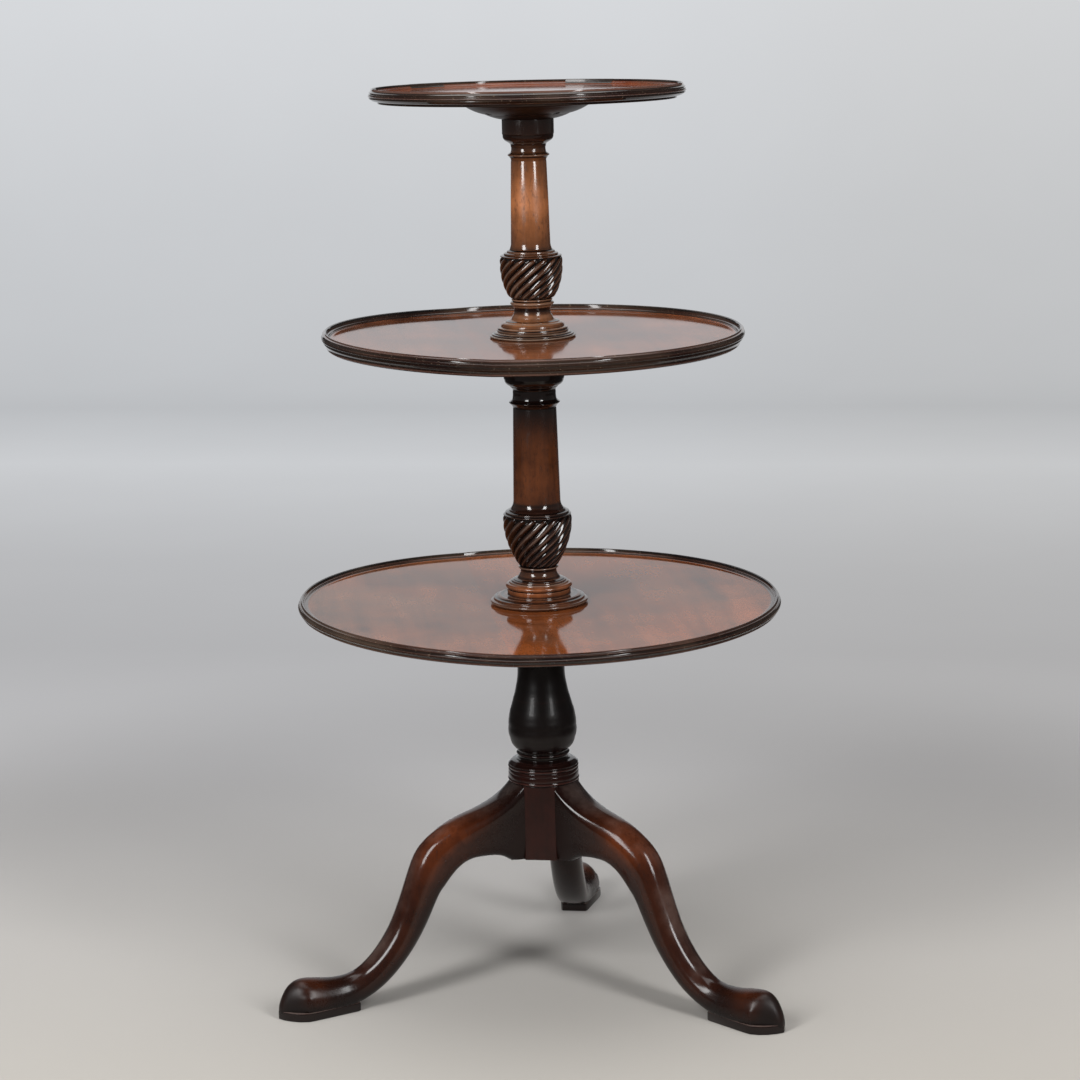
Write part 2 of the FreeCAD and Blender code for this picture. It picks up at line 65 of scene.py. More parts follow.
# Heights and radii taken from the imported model
low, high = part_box("bottom_boss")
column_y = ((low + high) / 2).y
boss_gap = 0.2 * mm
tray_gap = 0.4 * mm
hub_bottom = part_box("base_pillar")[0].z
pillar_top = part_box("bottom_boss")[0].z - boss_gap
bottom_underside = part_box("bottom_tray_main_board")[0].z
middle_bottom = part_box("middle_column")[0].z
middle_column_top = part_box("middle_boss")[0].z - boss_gap
middle_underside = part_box("middle_tray_main_board")[0].z
top_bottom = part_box("top_column")[0].z
top_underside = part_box("top_tray")[0].z
bottom_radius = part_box("bottom_tray_main_board")[1].x
middle_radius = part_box("middle_tray_main_board")[1].x
top_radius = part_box("top_tray")[1].x
bottom_field = middle_bottom - tray_gap
middle_field = top_bottom - tray_gap
toe_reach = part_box("leg_rear")[1].y - column_y

# Turned members: radius, height above the member's lower end, bulge as a share of the chord
pillar_outline = (
    (43.2, 95.5, 0), (43.0, 96.1, 0), (44.3, 96.7, 0), (44.4, 99.4, 0.2), (43.9, 99.9, 0), (43.9, 100.4, 0),
    (44.3, 100.9, 0), (44.2, 106.4, 0), (43.8, 106.8, 0), (43.8, 107.2, 0), (44.2, 107.6, 0),
    (44.1, 111.2, 0), (43.3, 111.7, 0), (43.3, 112.1, 0), (44.0, 112.9, 0.2), (43.9, 115.4, 0.2),
    (43.2, 116.0, 0), (43.2, 116.5, 0), (43.8, 117.0, 0), (43.4, 118.3, 0.25), (41.4, 120.0, 0),
    (34.6, 123.2, 0.10), (33.0, 124.4, 0), (31.4, 125.0, 0), (31.4, 128.8, 0),
    (32.5, 129.7, 0), (32.5, 132.5, 0.35), (31.4, 133.5, 0), (32.4, 135.4, 0), (33.2, 136.5, -0.1),
    (41.0, 150.4, 0.10), (42.5, 166.4, 0.07), (41.7, 177.4, 0.04), (38.4, 191.4, 0.03), (35.5, 202.1, 0),
    (31.9, 217.3, -0.02), (29.5, 238.5, -0.03), (29.0, 251.5, 0), (30.6, 252.6, 0), (30.6, 255.4, 0.45),
    (27.6, 257.5, 0), (27.6, 264.5, -0.04), (31.2, 271.5, -0.20), (38.4, 279.0, 0.18), (40.0, 280.2, 0),
    (40.0, 291.5, 0),
)
middle_foot_outline = (
    (58.6, 0.0, 0), (59.2, 0.7, 0.3), (59.4, 1.2, 0), (58.6, 5.0, 0.44), (56.8, 5.5, 0), (56.6, 6.0, 0),
    (56.2, 6.4, 0), (55.4, 8.3, 0.42), (53.6, 8.6, 0), (52.8, 9.1, 0), (46.0, 10.6, 0.12), (40.4, 10.9, 0),
    (39.5, 11.3, 0), (39.5, 16.9, 0), (39.9, 17.3, 0.3), (39.5, 18.0, 0), (38.5, 18.3, 0), (38.5, 18.9, 0),
    (39.4, 19.3, 0), (39.4, 24.9, 0.36), (37.2, 25.6, 0), (36.9, 26.3, 0), (34.9, 27.4, 0.2),
    (34.2, 27.6, 0), (32.9, 29.2, 0.2), (31.6, 29.6, 0), (31.0, 30.4, 0.2), (29.6, 30.7, 0),
    (25.0, 34.2, -0.13), (22.4, 39.6, -0.08), (22.2, 42.6, 0), (22.6, 43.2, 0), (24.1, 43.9, 0.1),
    (24.0, 46.1, 0.35), (22.6, 46.5, 0),
)
middle_shaft_outline = (
    (41.6, 0.0, 0), (41.9, 0.5, 0.3), (41.6, 1.3, 0.3), (39.6, 2.2, 0), (39.5, 3.0, 0), (38.2, 4.8, 0.3),
    (34.4, 7.3, -0.06), (31.4, 10.3, -0.08), (29.8, 14.4, -0.05), (29.3, 18.0, 0), (28.1, 76.0, 0),
    (26.8, 133.2, 0), (27.2, 135.4, -0.1), (28.8, 137.6, -0.1), (30.2, 139.2, 0), (30.2, 141.9, 0.45),
    (28.4, 143.2, 0), (27.2, 144.6, 0), (26.7, 153.6, -0.03), (29.4, 159.8, -0.18), (30.1, 160.6, 0),
    (30.3, 161.4, 0), (37.0, 169.5, 0.16), (37.5, 170.8, 0), (37.5, 186.2, 0),
)
top_foot_outline = (
    (51.6, 0.0, 0), (52.2, 0.7, 0.3), (52.1, 2.2, 0.4), (50.4, 2.7, 0), (50.2, 3.0, 0), (49.4, 4.2, 0.4),
    (47.8, 4.4, 0), (44.2, 6.4, 0.12), (43.4, 7.2, 0), (43.8, 8.6, 0.2), (42.9, 9.1, 0), (39.3, 12.2, 0.20),
    (38.7, 12.7, 0), (38.8, 13.6, 0), (34.0, 18.0, 0.15), (33.0, 18.4, 0), (31.8, 19.4, 0.2), (30.4, 19.8, 0),
    (24.6, 25.0, -0.16), (22.2, 30.4, -0.06), (22.0, 34.4, 0), (23.7, 37.0, -0.1), (23.9, 38.4, 0),
    (25.2, 39.0, 0), (25.2, 43.0, 0.42), (23.4, 43.5, 0), (24.4, 44.2, 0), (24.6, 46.2, 0.3), (23.6, 46.5, 0),
)
top_shaft_outline = (
    (37.2, 0.0, 0), (37.5, 0.5, 0.3), (37.2, 1.3, 0.3), (32.6, 1.9, 0), (32.7, 4.2, 0.35), (29.6, 5.0, 0),
    (29.4, 6.0, 0), (28.2, 7.2, 0.2), (25.0, 11.4, -0.14), (24.1, 17.5, -0.05), (22.9, 66.0, 0),
    (21.7, 114.8, 0), (21.9, 118.0, -0.1), (22.9, 119.6, 0), (23.8, 121.0, 0), (23.8, 124.6, 0.45),
    (21.6, 126.2, 0), (20.9, 132.0, -0.04), (21.4, 133.2, 0), (24.4, 137.6, -0.18), (25.6, 138.6, 0),
    (31.0, 147.0, 0.18), (31.6, 148.4, 0), (31.6, 165.8, 0),
)

# Share of the bare orange wood that shows through the dark polish, by height along a member; the low shares
# on the hub and pillar and toward the tops of the shafts also paint the shade under the trays above
pillar_bare_and_shade = ((95, 0.06), (112, 0.04), (130, 0.01), (160, 0.0))
middle_foot_fade = ((0, 0.12), (11, 0.22), (15, 0.44), (24, 0.46), (28, 0.12), (36, 0.10))
middle_shaft_bare_and_shade = (
    (0, 0.0), (10, 0.02), (16, 0.12), (28, 0.66), (50, 0.66), (75, 0.30), (100, 0.08), (125, 0.0)
)
top_foot_fade = ((0, 0.04), (8, 0.08), (12, 0.28), (20, 0.34), (30, 0.26), (38, 0.26), (47, 0.20))
top_shaft_bare_and_shade = (
    (0, 0.08), (8, 0.12), (20, 0.24), (35, 0.42), (52, 0.74), (78, 0.74), (95, 0.54), (116, 0.28),
    (126, 0.16), (140, 0.02), (166, 0.0)
)

# Loss of gloss of the pillar by height; its vase is matt
pillar_dullness = ((134, 0.1), (142, 0.85), (240, 0.85), (252, 0.3))
hub_dullness = 0.8
middle_foot_dullness = 0.06
top_foot_dullness = 0.14

# How the wear of a turned outline is told from its shape, and wear where nothing stands out
wear_reach = 3 * mm
wear_depth = 1.6 * mm
even_wear = 0.5

# Moulded edge of a wide tray, and of the top one: inset from the edge, height above the underside, bulge
bottom_edge = (
    (6.0, 0.0, 0), (3.4, 1.2, 0.12), (0.2, 6.4, 0.18), (0.0, 8.2, 0.08), (1.5, 12.0, 0.18), (2.0, 12.6, -0.2),
    (4.2, 15.4, 0.24), (5.7, 15.0, 0.14), (6.9, 11.5, -0.02), (8.6, 10.1, -0.14), (13.5, 9.7, -0.06),
)
middle_edge = (
    (8.5, 0.0, 0), (6.4, 1.3, 0.10), (3.0, 7.4, 0.12), (2.4, 8.0, 0), (2.2, 8.6, 0), (1.9, 9.4, 0),
    (0.3, 12.2, 0.16), (0.0, 14.6, 0.08), (1.3, 18.6, 0.16), (4.2, 20.8, 0.20), (5.8, 20.3, 0.14),
    (7.2, 15.6, -0.02), (9.0, 13.6, -0.14), (13.5, 13.0, -0.06),
)
top_edge = (
    (11.8, 0.0, 0), (10.6, 3.0, -0.10), (2.1, 5.6, -0.14), (1.0, 6.2, 0), (0.0, 9.0, 0.22), (0.8, 11.4, 0.20),
    (1.5, 11.8, 0), (1.5, 12.4, 0), (1.1, 13.6, 0.22), (3.8, 17.8, 0.16), (5.6, 17.5, 0.14),
    (6.3, 14.0, -0.02), (8.4, 12.5, -0.14), (13.5, 12.0, -0.06),
)
field_shares = (0, 0.25, 0.5, 0.75, 0.995)
wide_underside_shares = (0, 0.3, 0.6, 0.9)
top_underside_shares = (0, 0.5, 0.9)

# Finish of a tray by inset from its edge: polished rim, cove with a little bare wood, barer field
rim_width = 5.5 * mm
cove_end = 12 * mm
worn_edge_width = 7 * mm
wide_cove_bare = 0.05
top_cove_bare = 0.28
field_bare = 0.6
scuff_width = 1.2 * mm
scuff_dullness = 0.35
underside_dullness = 1.2
underside_play = 0.5 * mm

# Glued joints of the wide trays; repairs let into the top rim, by azimuth and span in degrees; leaning trays
joint_azimuth = math.radians(195)
bottom_joint = 66 * mm
middle_joint = 78 * mm
joint_gap = 0.35 * mm
repair_width = 9 * mm
left_repair = (141, 17)
right_repair = (73, 20)
repair_proud = 0.12 * mm
repair_lift = 0.2 * mm
repair_lap = 0.5 * mm
repair_steps = 12
top_tilt = math.radians(0.9)
bottom_warp = math.radians(2.0)
middle_warp = math.radians(1.9)
bottom_tilt = math.radians(0.28)

# Carved urns
middle_urn = {"height": 64.5, "neck": 23.5, "widest": 42.7, "widest_share": 0.88, "fullness": 0.9,
              "reeds": 18, "slope": 42, "bare": 0.02}
top_urn = {"height": 51.5, "neck": 25.0, "widest": 38.3, "widest_share": 0.77, "fullness": 0.65,
           "reeds": 16, "slope": 38, "bare": 0.07}
reed_depth = 3.0 * mm
points_per_reed = 14
urn_rows = 56
upper_thumb = 0.42
lower_thumb = 0.35
# Wear on the reeds' ridges, whose lighter colour also paints the highlight along each ridge
reed_wear_and_highlight = 0.85

# Journals and sockets inside the columns
journals = {"base": 17.0 * mm, "middle": 15.0 * mm, "top": 13.0 * mm}
screw_end_step = 4.5 * mm
screw_end_length = 33 * mm
socket_play = 2 * mm
top_journal_length = 19 * mm
fit = 0.1 * mm

# Fineness of the meshes
turning_steps = 128
arc_steps = 6
corner_softness = 0.28 * mm
corner_share = 0.4
corner_angle = math.radians(20)
sharp_angle = math.radians(40)
merge_distance = 0.01 * mm
sliver_length = 0.005 * mm
cut_tolerance = 0.001 * mm

# Hub and legs
hub_radius = 44.3 * mm
hub_height = 95.5 * mm
leg_half_width = 25 * mm
leg_rise = 262 * mm
leg_azimuths = {"leg_rear": 90, "leg_left": 210, "leg_right": 330}
hub_flat = math.sqrt(hub_radius**2 - leg_half_width**2)
foot_heel = 258 * mm
foot_half_width = 28 * mm
foot_block_height = 11 * mm
foot_block_softness = 0.9 * mm
foot_corner = 0.9135
foot_corner_width = 0.006
foot_corner_height = 34 * mm
foot_corner_crease = 0.9

# Rings of a leg from hub to toe: crest reach and height, belly reach and height, half width, shoulder height,
# squareness of the belly, sharpness of the ridge along the shoulder, share of bare orange wood
leg_rings = (
    (0.040, 1.110, 0.040, 0.611, 1.01, 0.90, 8.0, 0.5, 0.0),
    (0.083, 1.050, 0.083, 0.611, 1.01, 0.90, 8.0, 0.5, 0.0),
    (0.122, 0.990, 0.122, 0.600, 1.01, 0.88, 8.0, 0.6, 0.0),
    (0.167, 0.942, 0.167, 0.660, 1.01, 0.84, 8.0, 0.7, 0.0),
    (0.228, 0.905, 0.223, 0.669, 0.99, 0.76, 7.0, 0.6, 0.06),
    (0.295, 0.880, 0.273, 0.668, 0.96, 0.68, 6.0, 0.5, 0.18),
    (0.362, 0.848, 0.302, 0.660, 0.94, 0.64, 5.0, 0.3, 0.34),
    (0.412, 0.806, 0.330, 0.637, 0.92, 0.62, 4.5, 0.2, 0.36),
    (0.456, 0.764, 0.352, 0.608, 0.90, 0.60, 4.0, 0.0, 0.32),
    (0.488, 0.710, 0.375, 0.573, 0.90, 0.58, 4.0, 0.0, 0.26),
    (0.510, 0.638, 0.396, 0.534, 0.88, 0.56, 3.5, 0.0, 0.14),
    (0.526, 0.576, 0.410, 0.513, 0.88, 0.54, 3.0, 0.0, 0.11),
    (0.552, 0.481, 0.441, 0.412, 0.86, 0.52, 2.6, 0.0, 0.09),
    (0.584, 0.376, 0.484, 0.302, 0.86, 0.50, 2.4, 0.0, 0.08),
    (0.629, 0.284, 0.540, 0.200, 0.87, 0.48, 2.4, 0.0, 0.06),
    (0.676, 0.216, 0.609, 0.107, 0.86, 0.45, 2.6, 0.0, 0.06),
    (0.722, 0.174, 0.680, 0.050, 0.82, 0.42, 3.0, 0.0, 0.05),
    (0.771, 0.162, 0.748, 0.023, 0.84, 0.36, 4.0, 0.3, 0.04),
    (0.821, 0.165, 0.812, 0.023, 0.94, 0.32, 5.0, 0.6, 0.14),
    (0.868, 0.177, 0.865, 0.023, 1.03, 0.30, 5.0, 0.7, 0.34),
    (0.915, 0.184, 0.912, 0.023, 1.06, 0.30, 5.0, 0.7, 0.26),
    (0.949, 0.169, 0.949, 0.023, 0.73, 0.30, 5.0, 0.7, 0.04),
    (0.974, 0.138, 0.974, 0.023, 0.44, 0.30, 5.0, 0.5, 0.02),
    (0.990, 0.090, 0.990, 0.023, 0.32, 0.30, 4.0, 0.3, 0.06),
    (0.998, 0.060, 0.998, 0.023, 0.12, 0.30, 4.0, 0.0, 0.05),
)
ring_points = 24

# Wear of a leg by reach: polish kept below the ankle, and dull sides at the hub and foot
ankle_reach = 0.68
ankle_run = 0.1
foot_polish = 0.6
side_wear = 0.48
crest_wear = 0.27
side_spread = 0.3
side_polish = 0.92
foot_dullness = ((0.70, 0), (0.80, 0.4), (0.92, 0.4), (0.95, 0.9))
hub_end_dullness = 0.9
dull_rings = 8
# Wear on the block's top edge, whose light line is partly rubbed wood and partly a painted highlight
block_edge_wear_and_highlight = 0.95
block_edge_width = 0.6 * mm
block_side_wear = 0.4
grain_slant = 0.2

# Plan of the block under a foot: share of its length from the heel, and of its half width
foot_block_plan = (
    (0.000, 0.560), (0.030, 0.640), (0.620, 0.985), (0.700, 1.000), (0.800, 0.860), (0.885, 0.620),
    (0.960, 0.300), (1.000, 0.000),
)


# Shapes

def outline_of(points):
    """Radius and height of an outline in metres, with its arcs drawn and its corners a little worn."""
    drawn = []
    for (r0, z0, _), (r1, z1, bulge) in zip(points, points[1:]):
        steps = arc_steps if bulge else 1
        for step in range(steps):
            share = step / steps
            lift = 4 * bulge * share * (1 - share)
            drawn.append(Vector((r0 + (r1 - r0) * share + lift * (z1 - z0),
                                 z0 + (z1 - z0) * share - lift * (r1 - r0))) * mm)
    drawn.append(Vector(points[-1][:2]) * mm)
    return softened(drawn)


def softened(points):
    """The points with every sharp corner cut back to a small curve."""
    soft = [points[0]]
    for before, here, after in zip(points, points[1:], points[2:]):
        if (here - before).angle(after - here, 0) < corner_angle:
            soft.append(here)
            continue
        back = before - here
        on = after - here
        start = here + back.normalized() * min(corner_softness, back.length * corner_share)
        end = here + on.normalized() * min(corner_softness, on.length * corner_share)
        soft += [start, (start + end + 2 * here) / 4, end]
    return soft + [points[-1]]


def between(table, place):
    """Value at a place of a table of places and values, whose end values hold beyond it."""
    for (p0, v0), (p1, v1) in zip(table, table[1:]):
        if place <= p1:
            return v0 + (v1 - v0) * min(1, max(0, (place - p0) / (p1 - p0)))
    return table[-1][1]


def exposure(points, spot):
    """How far a point of an outline stands out from its neighbourhood, from 0 in a groove to 1 on a bead."""
    near = [point.x for point in points if (point - points[spot]).length < wear_reach]
    return min(1, max(0, even_wear + (points[spot].x - sum(near) / len(near)) / wear_depth))


def by_height(table):
    """Value of a table of heights in millimetres, for a point of an outline."""
    return lambda point: between(table, point.y / mm)


def even(value):
    return lambda point: value


def scuffed_edge(radius):
    """Dull outermost face and underside of a tray."""
    def dullness(point):
        if point.y < underside_play:
            return underside_dullness
        return scuff_dullness if point.x > radius - scuff_width else 0
    return dullness


def of_kind(items, kind):
    return [item for item in items if isinstance(item, kind)]


def placed(name, data):
    """New object in the scene."""
    thing = bpy.data.objects.new(name, data)
    scene.collection.objects.link(thing)
    return thing


def mesh_object(name, form):
    """New object with the form's mesh."""
    mesh = bpy.data.meshes.new(name)
    form.to_mesh(mesh)
    form.free()
    return placed(name, mesh)


def swing(form, angle, axis="Z", centre=(0, 0, 0)):
    """Turns a whole form; a positive angle about X raises its back and lowers its front."""
    bmesh.ops.rotate(form, verts=form.verts, cent=centre, matrix=Matrix.Rotation(angle, 3, axis))


def face_outwards(form):
    bmesh.ops.recalc_face_normals(form, faces=form.faces)


def layer_of(form, name):
    """The form's layer of that name, made when it isn't there."""
    return form.verts.layers.float.get(name) or form.verts.layers.float.new(name)


def turn_outline(form, points, base, bare_and_shade, dullness, closed=False, flat=0):
    """Spins an outline about the column's axis; its ends lie on the axis unless it is closed.

    Points within the radius flat have even wear.
    """
    worn, bare, dull = (layer_of(form, name) for name in ("worn", "bare", "dull"))
    verts = []
    for spot, point in enumerate(points):
        vert = form.verts.new((point.x, 0, base + point.y))
        vert[worn] = exposure(points, spot) if point.x > flat else even_wear
        # Share of bare wood, which on the hub, pillar and shaft tops also paints shade
        vert[bare] = bare_and_shade(point)
        vert[dull] = dullness(point)
        verts.append(vert)
    pairs = list(zip(verts, verts[1:]))
    if closed:
        pairs.append((verts[-1], verts[0]))
    edges = [form.edges.new(pair) for pair in pairs]
    bmesh.ops.spin(form, geom=verts + edges, cent=(0, 0, 0), axis=up, dvec=(0, 0, 0),
                   angle=2 * math.pi, steps=turning_steps, use_merge=True)


def finish_form(form, name, body, finish, nodes):
    """Merges, turns outwards, moves to the column's axis and makes the piece's object."""
    bmesh.ops.remove_doubles(form, verts=form.verts, dist=merge_distance)
    bmesh.ops.dissolve_degenerate(form, edges=form.edges, dist=sliver_length)
    face_outwards(form)
    bmesh.ops.translate(form, verts=form.verts, vec=(0, column_y, 0))
    piece = mesh_object(name, form)
    piece.data.shade_smooth()
    piece.data.set_sharp_from_angle(angle=sharp_angle)
    piece.data.materials.append(finish)
    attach(piece, body)
    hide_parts(*nodes)


def tube(form, rings, measures):
    """Closed skin drawn through rings of points; measures gives each ring's layer values by name."""
    spot = form.verts.layers.int.new("spot")
    layers = {name: layer_of(form, name) for name in measures[0]}
    verts = bmesh.ops.create_circle(form, cap_ends=True, segments=len(rings[0]), radius=1)["verts"]
    edges = list({edge for vert in verts for edge in vert.link_edges})
    for number, vert in enumerate(verts):
        vert[spot] = number
    first = verts
    for ring, values in zip(rings, measures):
        if ring is not rings[0]:
            made = bmesh.ops.extrude_edge_only(form, edges=edges)["geom"]
            first = of_kind(made, BMVert)
            fresh = set(first)
            edges = [edge for edge in of_kind(made, BMEdge) if set(edge.verts) <= fresh]
        for vert in first:
            vert.co = ring[vert[spot]]
            for name, value in values.items():
                vert[layers[name]] = value[vert[spot]] if isinstance(value, list) else value
    bmesh.ops.edgeloop_fill(form, edges=edges)


def urn_radius(urn, share):
    rise = math.sin(math.pi / 2 * min(share / urn["widest_share"], 1))
    return (urn["neck"] + (urn["widest"] - urn["neck"]) * rise ** urn["fullness"]) * mm


def carve_urn(form, urn, base):
    """Urn with spiral reeds that end in rounded thumbs under the shelf of the shaft."""
    around = urn["reeds"] * points_per_reed
    height = urn["height"] * mm
    rings = []
    measures = []
    turn = 0
    for row in range(urn_rows + 1):
        share = row / urn_rows
        radius = urn_radius(urn, share)
        if row:
            turn += height / urn_rows / math.tan(math.radians(urn["slope"])) / radius
        reed_width = 2 * math.pi * radius / urn["reeds"]
        end = min(1, (1 - share) * height / (upper_thumb * reed_width),
                  share * height / (lower_thumb * reed_width))
        ring = []
        wear = []
        for number in range(around):
            angle = 2 * math.pi * number / around
            ridge = math.sqrt(max(0, math.cos(angle * urn["reeds"] / 2) ** 2 - (1 - end) ** 2))
            reach = radius - reed_depth * radius / (urn["widest"] * mm) * (1 - ridge)
            ring.append(Vector((reach * math.cos(angle + turn), reach * math.sin(angle + turn),
                                base + share * height)))
            # A ridge's wear; its lighter rubbed colour also paints the highlight along the ridge
            wear.append(reed_wear_and_highlight * ridge**2)
        rings.append(ring)
        measures.append({"worn": wear, "bare": urn["bare"], "dull": 0.0})
    tube(form, rings, measures)


def spindle(outline, journal, length, threaded):
    """Outline closed on the axis, with a journal and perhaps a threaded end above its top shoulder."""
    top = outline[-1].y
    thread = journal - screw_end_step
    above = [Vector((journal, top)), Vector((journal, top + length))]
    if threaded:
        above += [Vector((thread, top + length)), Vector((thread, top + length + screw_end_length))]
    return [*outline, *above, Vector((0, above[-1].y))]


# Shader nodes

class Signal:
    """Socket of a finish that can stand in an arithmetic expression."""

    def __init__(self, finish, socket):
        self.finish = finish
        self.socket = socket

    def maths(self, operation, *others, clamp=False):
        return self.finish.add("Math", {"operation": operation, "use_clamp": clamp},
                               dict(enumerate((self, *others))))

    def __add__(self, other):
        return self.maths("ADD", other)

    __radd__ = __add__

    def __sub__(self, other):
        return self.maths("SUBTRACT", other)

    def __rsub__(self, other):
        return self.finish.add("Math", {"operation": "SUBTRACT"}, {0: other, 1: self})

    def __mul__(self, other):
        return self.maths("MULTIPLY", other)

    def limited(self):
        return self.maths("ADD", 0, clamp=True)


class Finish:
    """Material or world whose nodes are added by kind, settings and socket values."""

    def __init__(self, name, library="materials"):
        self.owner = getattr(bpy.data, library).new(name)
        self.owner.use_nodes = True
        self.tree = self.owner.node_tree
        self.tree.nodes.clear()

    def add(self, kind, settings, values, output=0):
        node = self.tree.nodes.new("ShaderNode" + kind)
        for name, setting in settings.items():
            if name == "stops":
                ramp = node.color_ramp
                while len(ramp.elements) < len(setting):
                    ramp.elements.new(1)
                for element, (position, colour) in zip(ramp.elements, setting):
                    element.position = position
                    element.color = colour
            else:
                setattr(node, name, setting)
        for name, value in values.items():
            if isinstance(value, Signal):
                self.tree.links.new(value.socket, node.inputs[name])
            else:
                node.inputs[name].default_value = value
        return Signal(self, node.outputs[output]) if node.outputs else None

    def place(self, turn=(0, 0, 0), stretch=(1, 1, 1)):
        """Object coordinates, turned and then stretched."""
        spot = self.add("TexCoord", {}, {}, "Object")
        turned = self.add("Mapping", {}, {"Vector": spot, "Rotation": turn})
        return self.add("Mapping", {}, {"Vector": turned, "Scale": stretch})

    def along(self, stretch):
        """The piece's own map, stretched, for grain that follows a bent piece."""
        spot = self.add("TexCoord", {}, {}, "UV")
        return self.add("Mapping", {}, {"Vector": spot, "Scale": stretch})

    def noise(self, place, scale, detail=3, roughness=0.55, distortion=0):
        return self.add("TexNoise", {}, {"Vector": place, "Scale": scale, "Detail": detail,
                                         "Roughness": roughness, "Distortion": distortion})

    def ramp(self, value, low, high):
        """0 below low, 1 above high, smooth between."""
        return self.add("MapRange", {"interpolation_type": "SMOOTHSTEP", "clamp": True},
                        {"Value": value, "From Min": low, "From Max": high})

    def mix(self, share, first, second, blend="MIX"):
        return self.add("Mix", {"data_type": "RGBA", "blend_type": blend}, {0: share, 6: first, 7: second}, 2)

    def attribute(self, name):
        return self.add("Attribute", {"attribute_name": name}, {}, "Fac")

    def bump(self, height, strength, distance):
        return self.add("Bump", {}, {"Height": height, "Strength": strength, "Distance": distance})

    def surface(self, colour, roughness, normal, **fixed):
        shader = self.add("BsdfPrincipled", {},
                          {"Base Color": colour, "Roughness": roughness, "Normal": normal, **fixed})
        self.add("OutputMaterial", {}, {"Surface": shader})
        return self.owner


def shade(red, green, blue):
    """Colour that shows on the screen as these levels out of 255."""
    return (*((level / 255 / 12.92 if level <= 10 else ((level / 255 + 0.055) / 1.055) ** 2.4)
              for level in (red, green, blue)), 1)


# Finishes

polish_black = shade(15, 9, 8)
wood_orange = shade(136, 66, 30)
worn_rim = shade(112, 80, 70)
dust = shade(150, 128, 108)


def mahogany(name, place, fine, red, orange=wood_orange, gloss=0.15, mottle=22, speckle=0.5, index=1.5,
             edge=worn_rim, haze=0, unevenness=1, coat=0.25, dusty=False, dry=0):
    """Old polished mahogany: dark polish, bare orange wood where it has faded, pores and fine wear.

    The piece's layers say how worn, bare and dull it is at each point. The bare layer also paints the shade
    under the trays on the hub, pillar and shaft tops; the worn layer's rubbed edge colour also paints
    highlights along the urn reeds and the foot blocks' top edges.
    """
    finish = Finish(name)
    figure = finish.noise(place(finish), 1, 4, 0.6, 0.4)
    clouds = finish.noise(finish.place(), mottle, 4, 0.6)
    flecks = finish.ramp(finish.noise(finish.place(stretch=(1, 1, 0.45)), 260, 3, 0.6), 0.52, 0.68)
    pores = finish.ramp(finish.noise(fine(finish), 1, 2, 0.5), 0.58, 0.68)
    wear = finish.attribute("worn")
    dull = finish.attribute("dull")
    # Share of bare wood from its layer, which also carries the painted shade under the trays
    bare_and_shade = finish.attribute("bare")
    glow = bare_and_shade * finish.ramp(wear, 0.1, 0.5) * (1 + (figure - 0.5) * 1.8 + (clouds - 0.5) * 2.2)
    # Lighter rubbed colour on beads and ridges; on the urn reeds and the foot blocks' top edges it also
    # paints highlights
    rubbed_and_highlight = finish.ramp(wear + (clouds - 0.5) * 0.5, 0.62, 1.0)
    colour = finish.mix(finish.ramp(wear, 0.1, 0.7), polish_black, red)
    colour = finish.mix(glow.limited(), colour, orange)
    colour = finish.mix(rubbed_and_highlight * 0.6, colour, edge)
    colour = finish.mix(((pores * 0.5 + flecks) * (0.3 + bare_and_shade) * speckle).limited(), colour, polish_black)
    if dusty:
        colour = finish.mix(dull * finish.ramp(wear, 0.25, 0.6), colour, dust)
    height = figure * 0.3 - pores * 0.5 - flecks * 0.2
    roughness = gloss + ((clouds - 0.5) * 0.16 + pores * 0.08 + flecks * 0.08) * unevenness
    roughness = roughness + dull * 0.3 + finish.ramp(bare_and_shade, 0.35, 0.8) * dry
    if haze:
        film = finish.ramp(finish.noise(finish.place(), 6, 3, 0.6, 0.6), 0.34, 0.7)
        specks = finish.ramp(finish.noise(finish.place(), 420, 2, 0.5), 0.66, 0.72)
        colour = finish.mix((film * haze + specks * 0.3).limited(), colour, dust)
        roughness = roughness + film * 0.04
    return finish.surface(colour, roughness.limited(), finish.bump(height, 0.2 * unevenness, 0.08 * mm),
                          **{"IOR": index, "Coat Weight": (coat - bare_and_shade * 0.55 - dull * 0.5).limited(),
                             "Coat Roughness": 0.05})


def upright(stretch):
    return lambda finish: finish.place(stretch=stretch)


def lying(turn, stretch):
    return lambda finish: finish.place(turn=(0, 0, turn), stretch=stretch)


def following(stretch):
    return lambda finish: finish.along(stretch)


turned_grain = upright((60, 60, 7)), upright((900, 900, 60))
leg_grain = following((9, 60, 60)), following((70, 900, 900))
# The pillar's polish is darker than the columns' and partly paints the shade under the bottom tray
pillar_wood_and_shade = mahogany("pillar_mahogany", *turned_grain, shade(21, 13, 12), shade(136, 56, 38), gloss=0.09,
                       index=1.33, edge=shade(66, 34, 28), unevenness=0.6, coat=0.5)
turned_wood = mahogany("turned_mahogany", *turned_grain, shade(34, 18, 14), shade(172, 96, 50), gloss=0.12,
                       coat=0.4, edge=shade(124, 104, 92), dusty=True, dry=0.3)
pale_turned_wood = mahogany("pale_turned_mahogany", *turned_grain, shade(42, 23, 17), shade(192, 120, 72),
                            gloss=0.12, speckle=0.4, coat=0.4, edge=shade(140, 122, 108), dusty=True,
                            dry=0.35)
leg_wood = mahogany("leg_mahogany", *leg_grain, shade(28, 13, 10), index=1.34, edge=shade(112, 96, 90))


def tray_wood(name, turn, red, orange, gloss=0.06, haze=0.1):
    return mahogany(name, lying(turn, (3.2, 30, 30)), lying(turn, (45, 620, 620)), red, orange, gloss,
                    mottle=9, speckle=0.3, index=1.37, haze=haze, unevenness=0.2, coat=0.33)


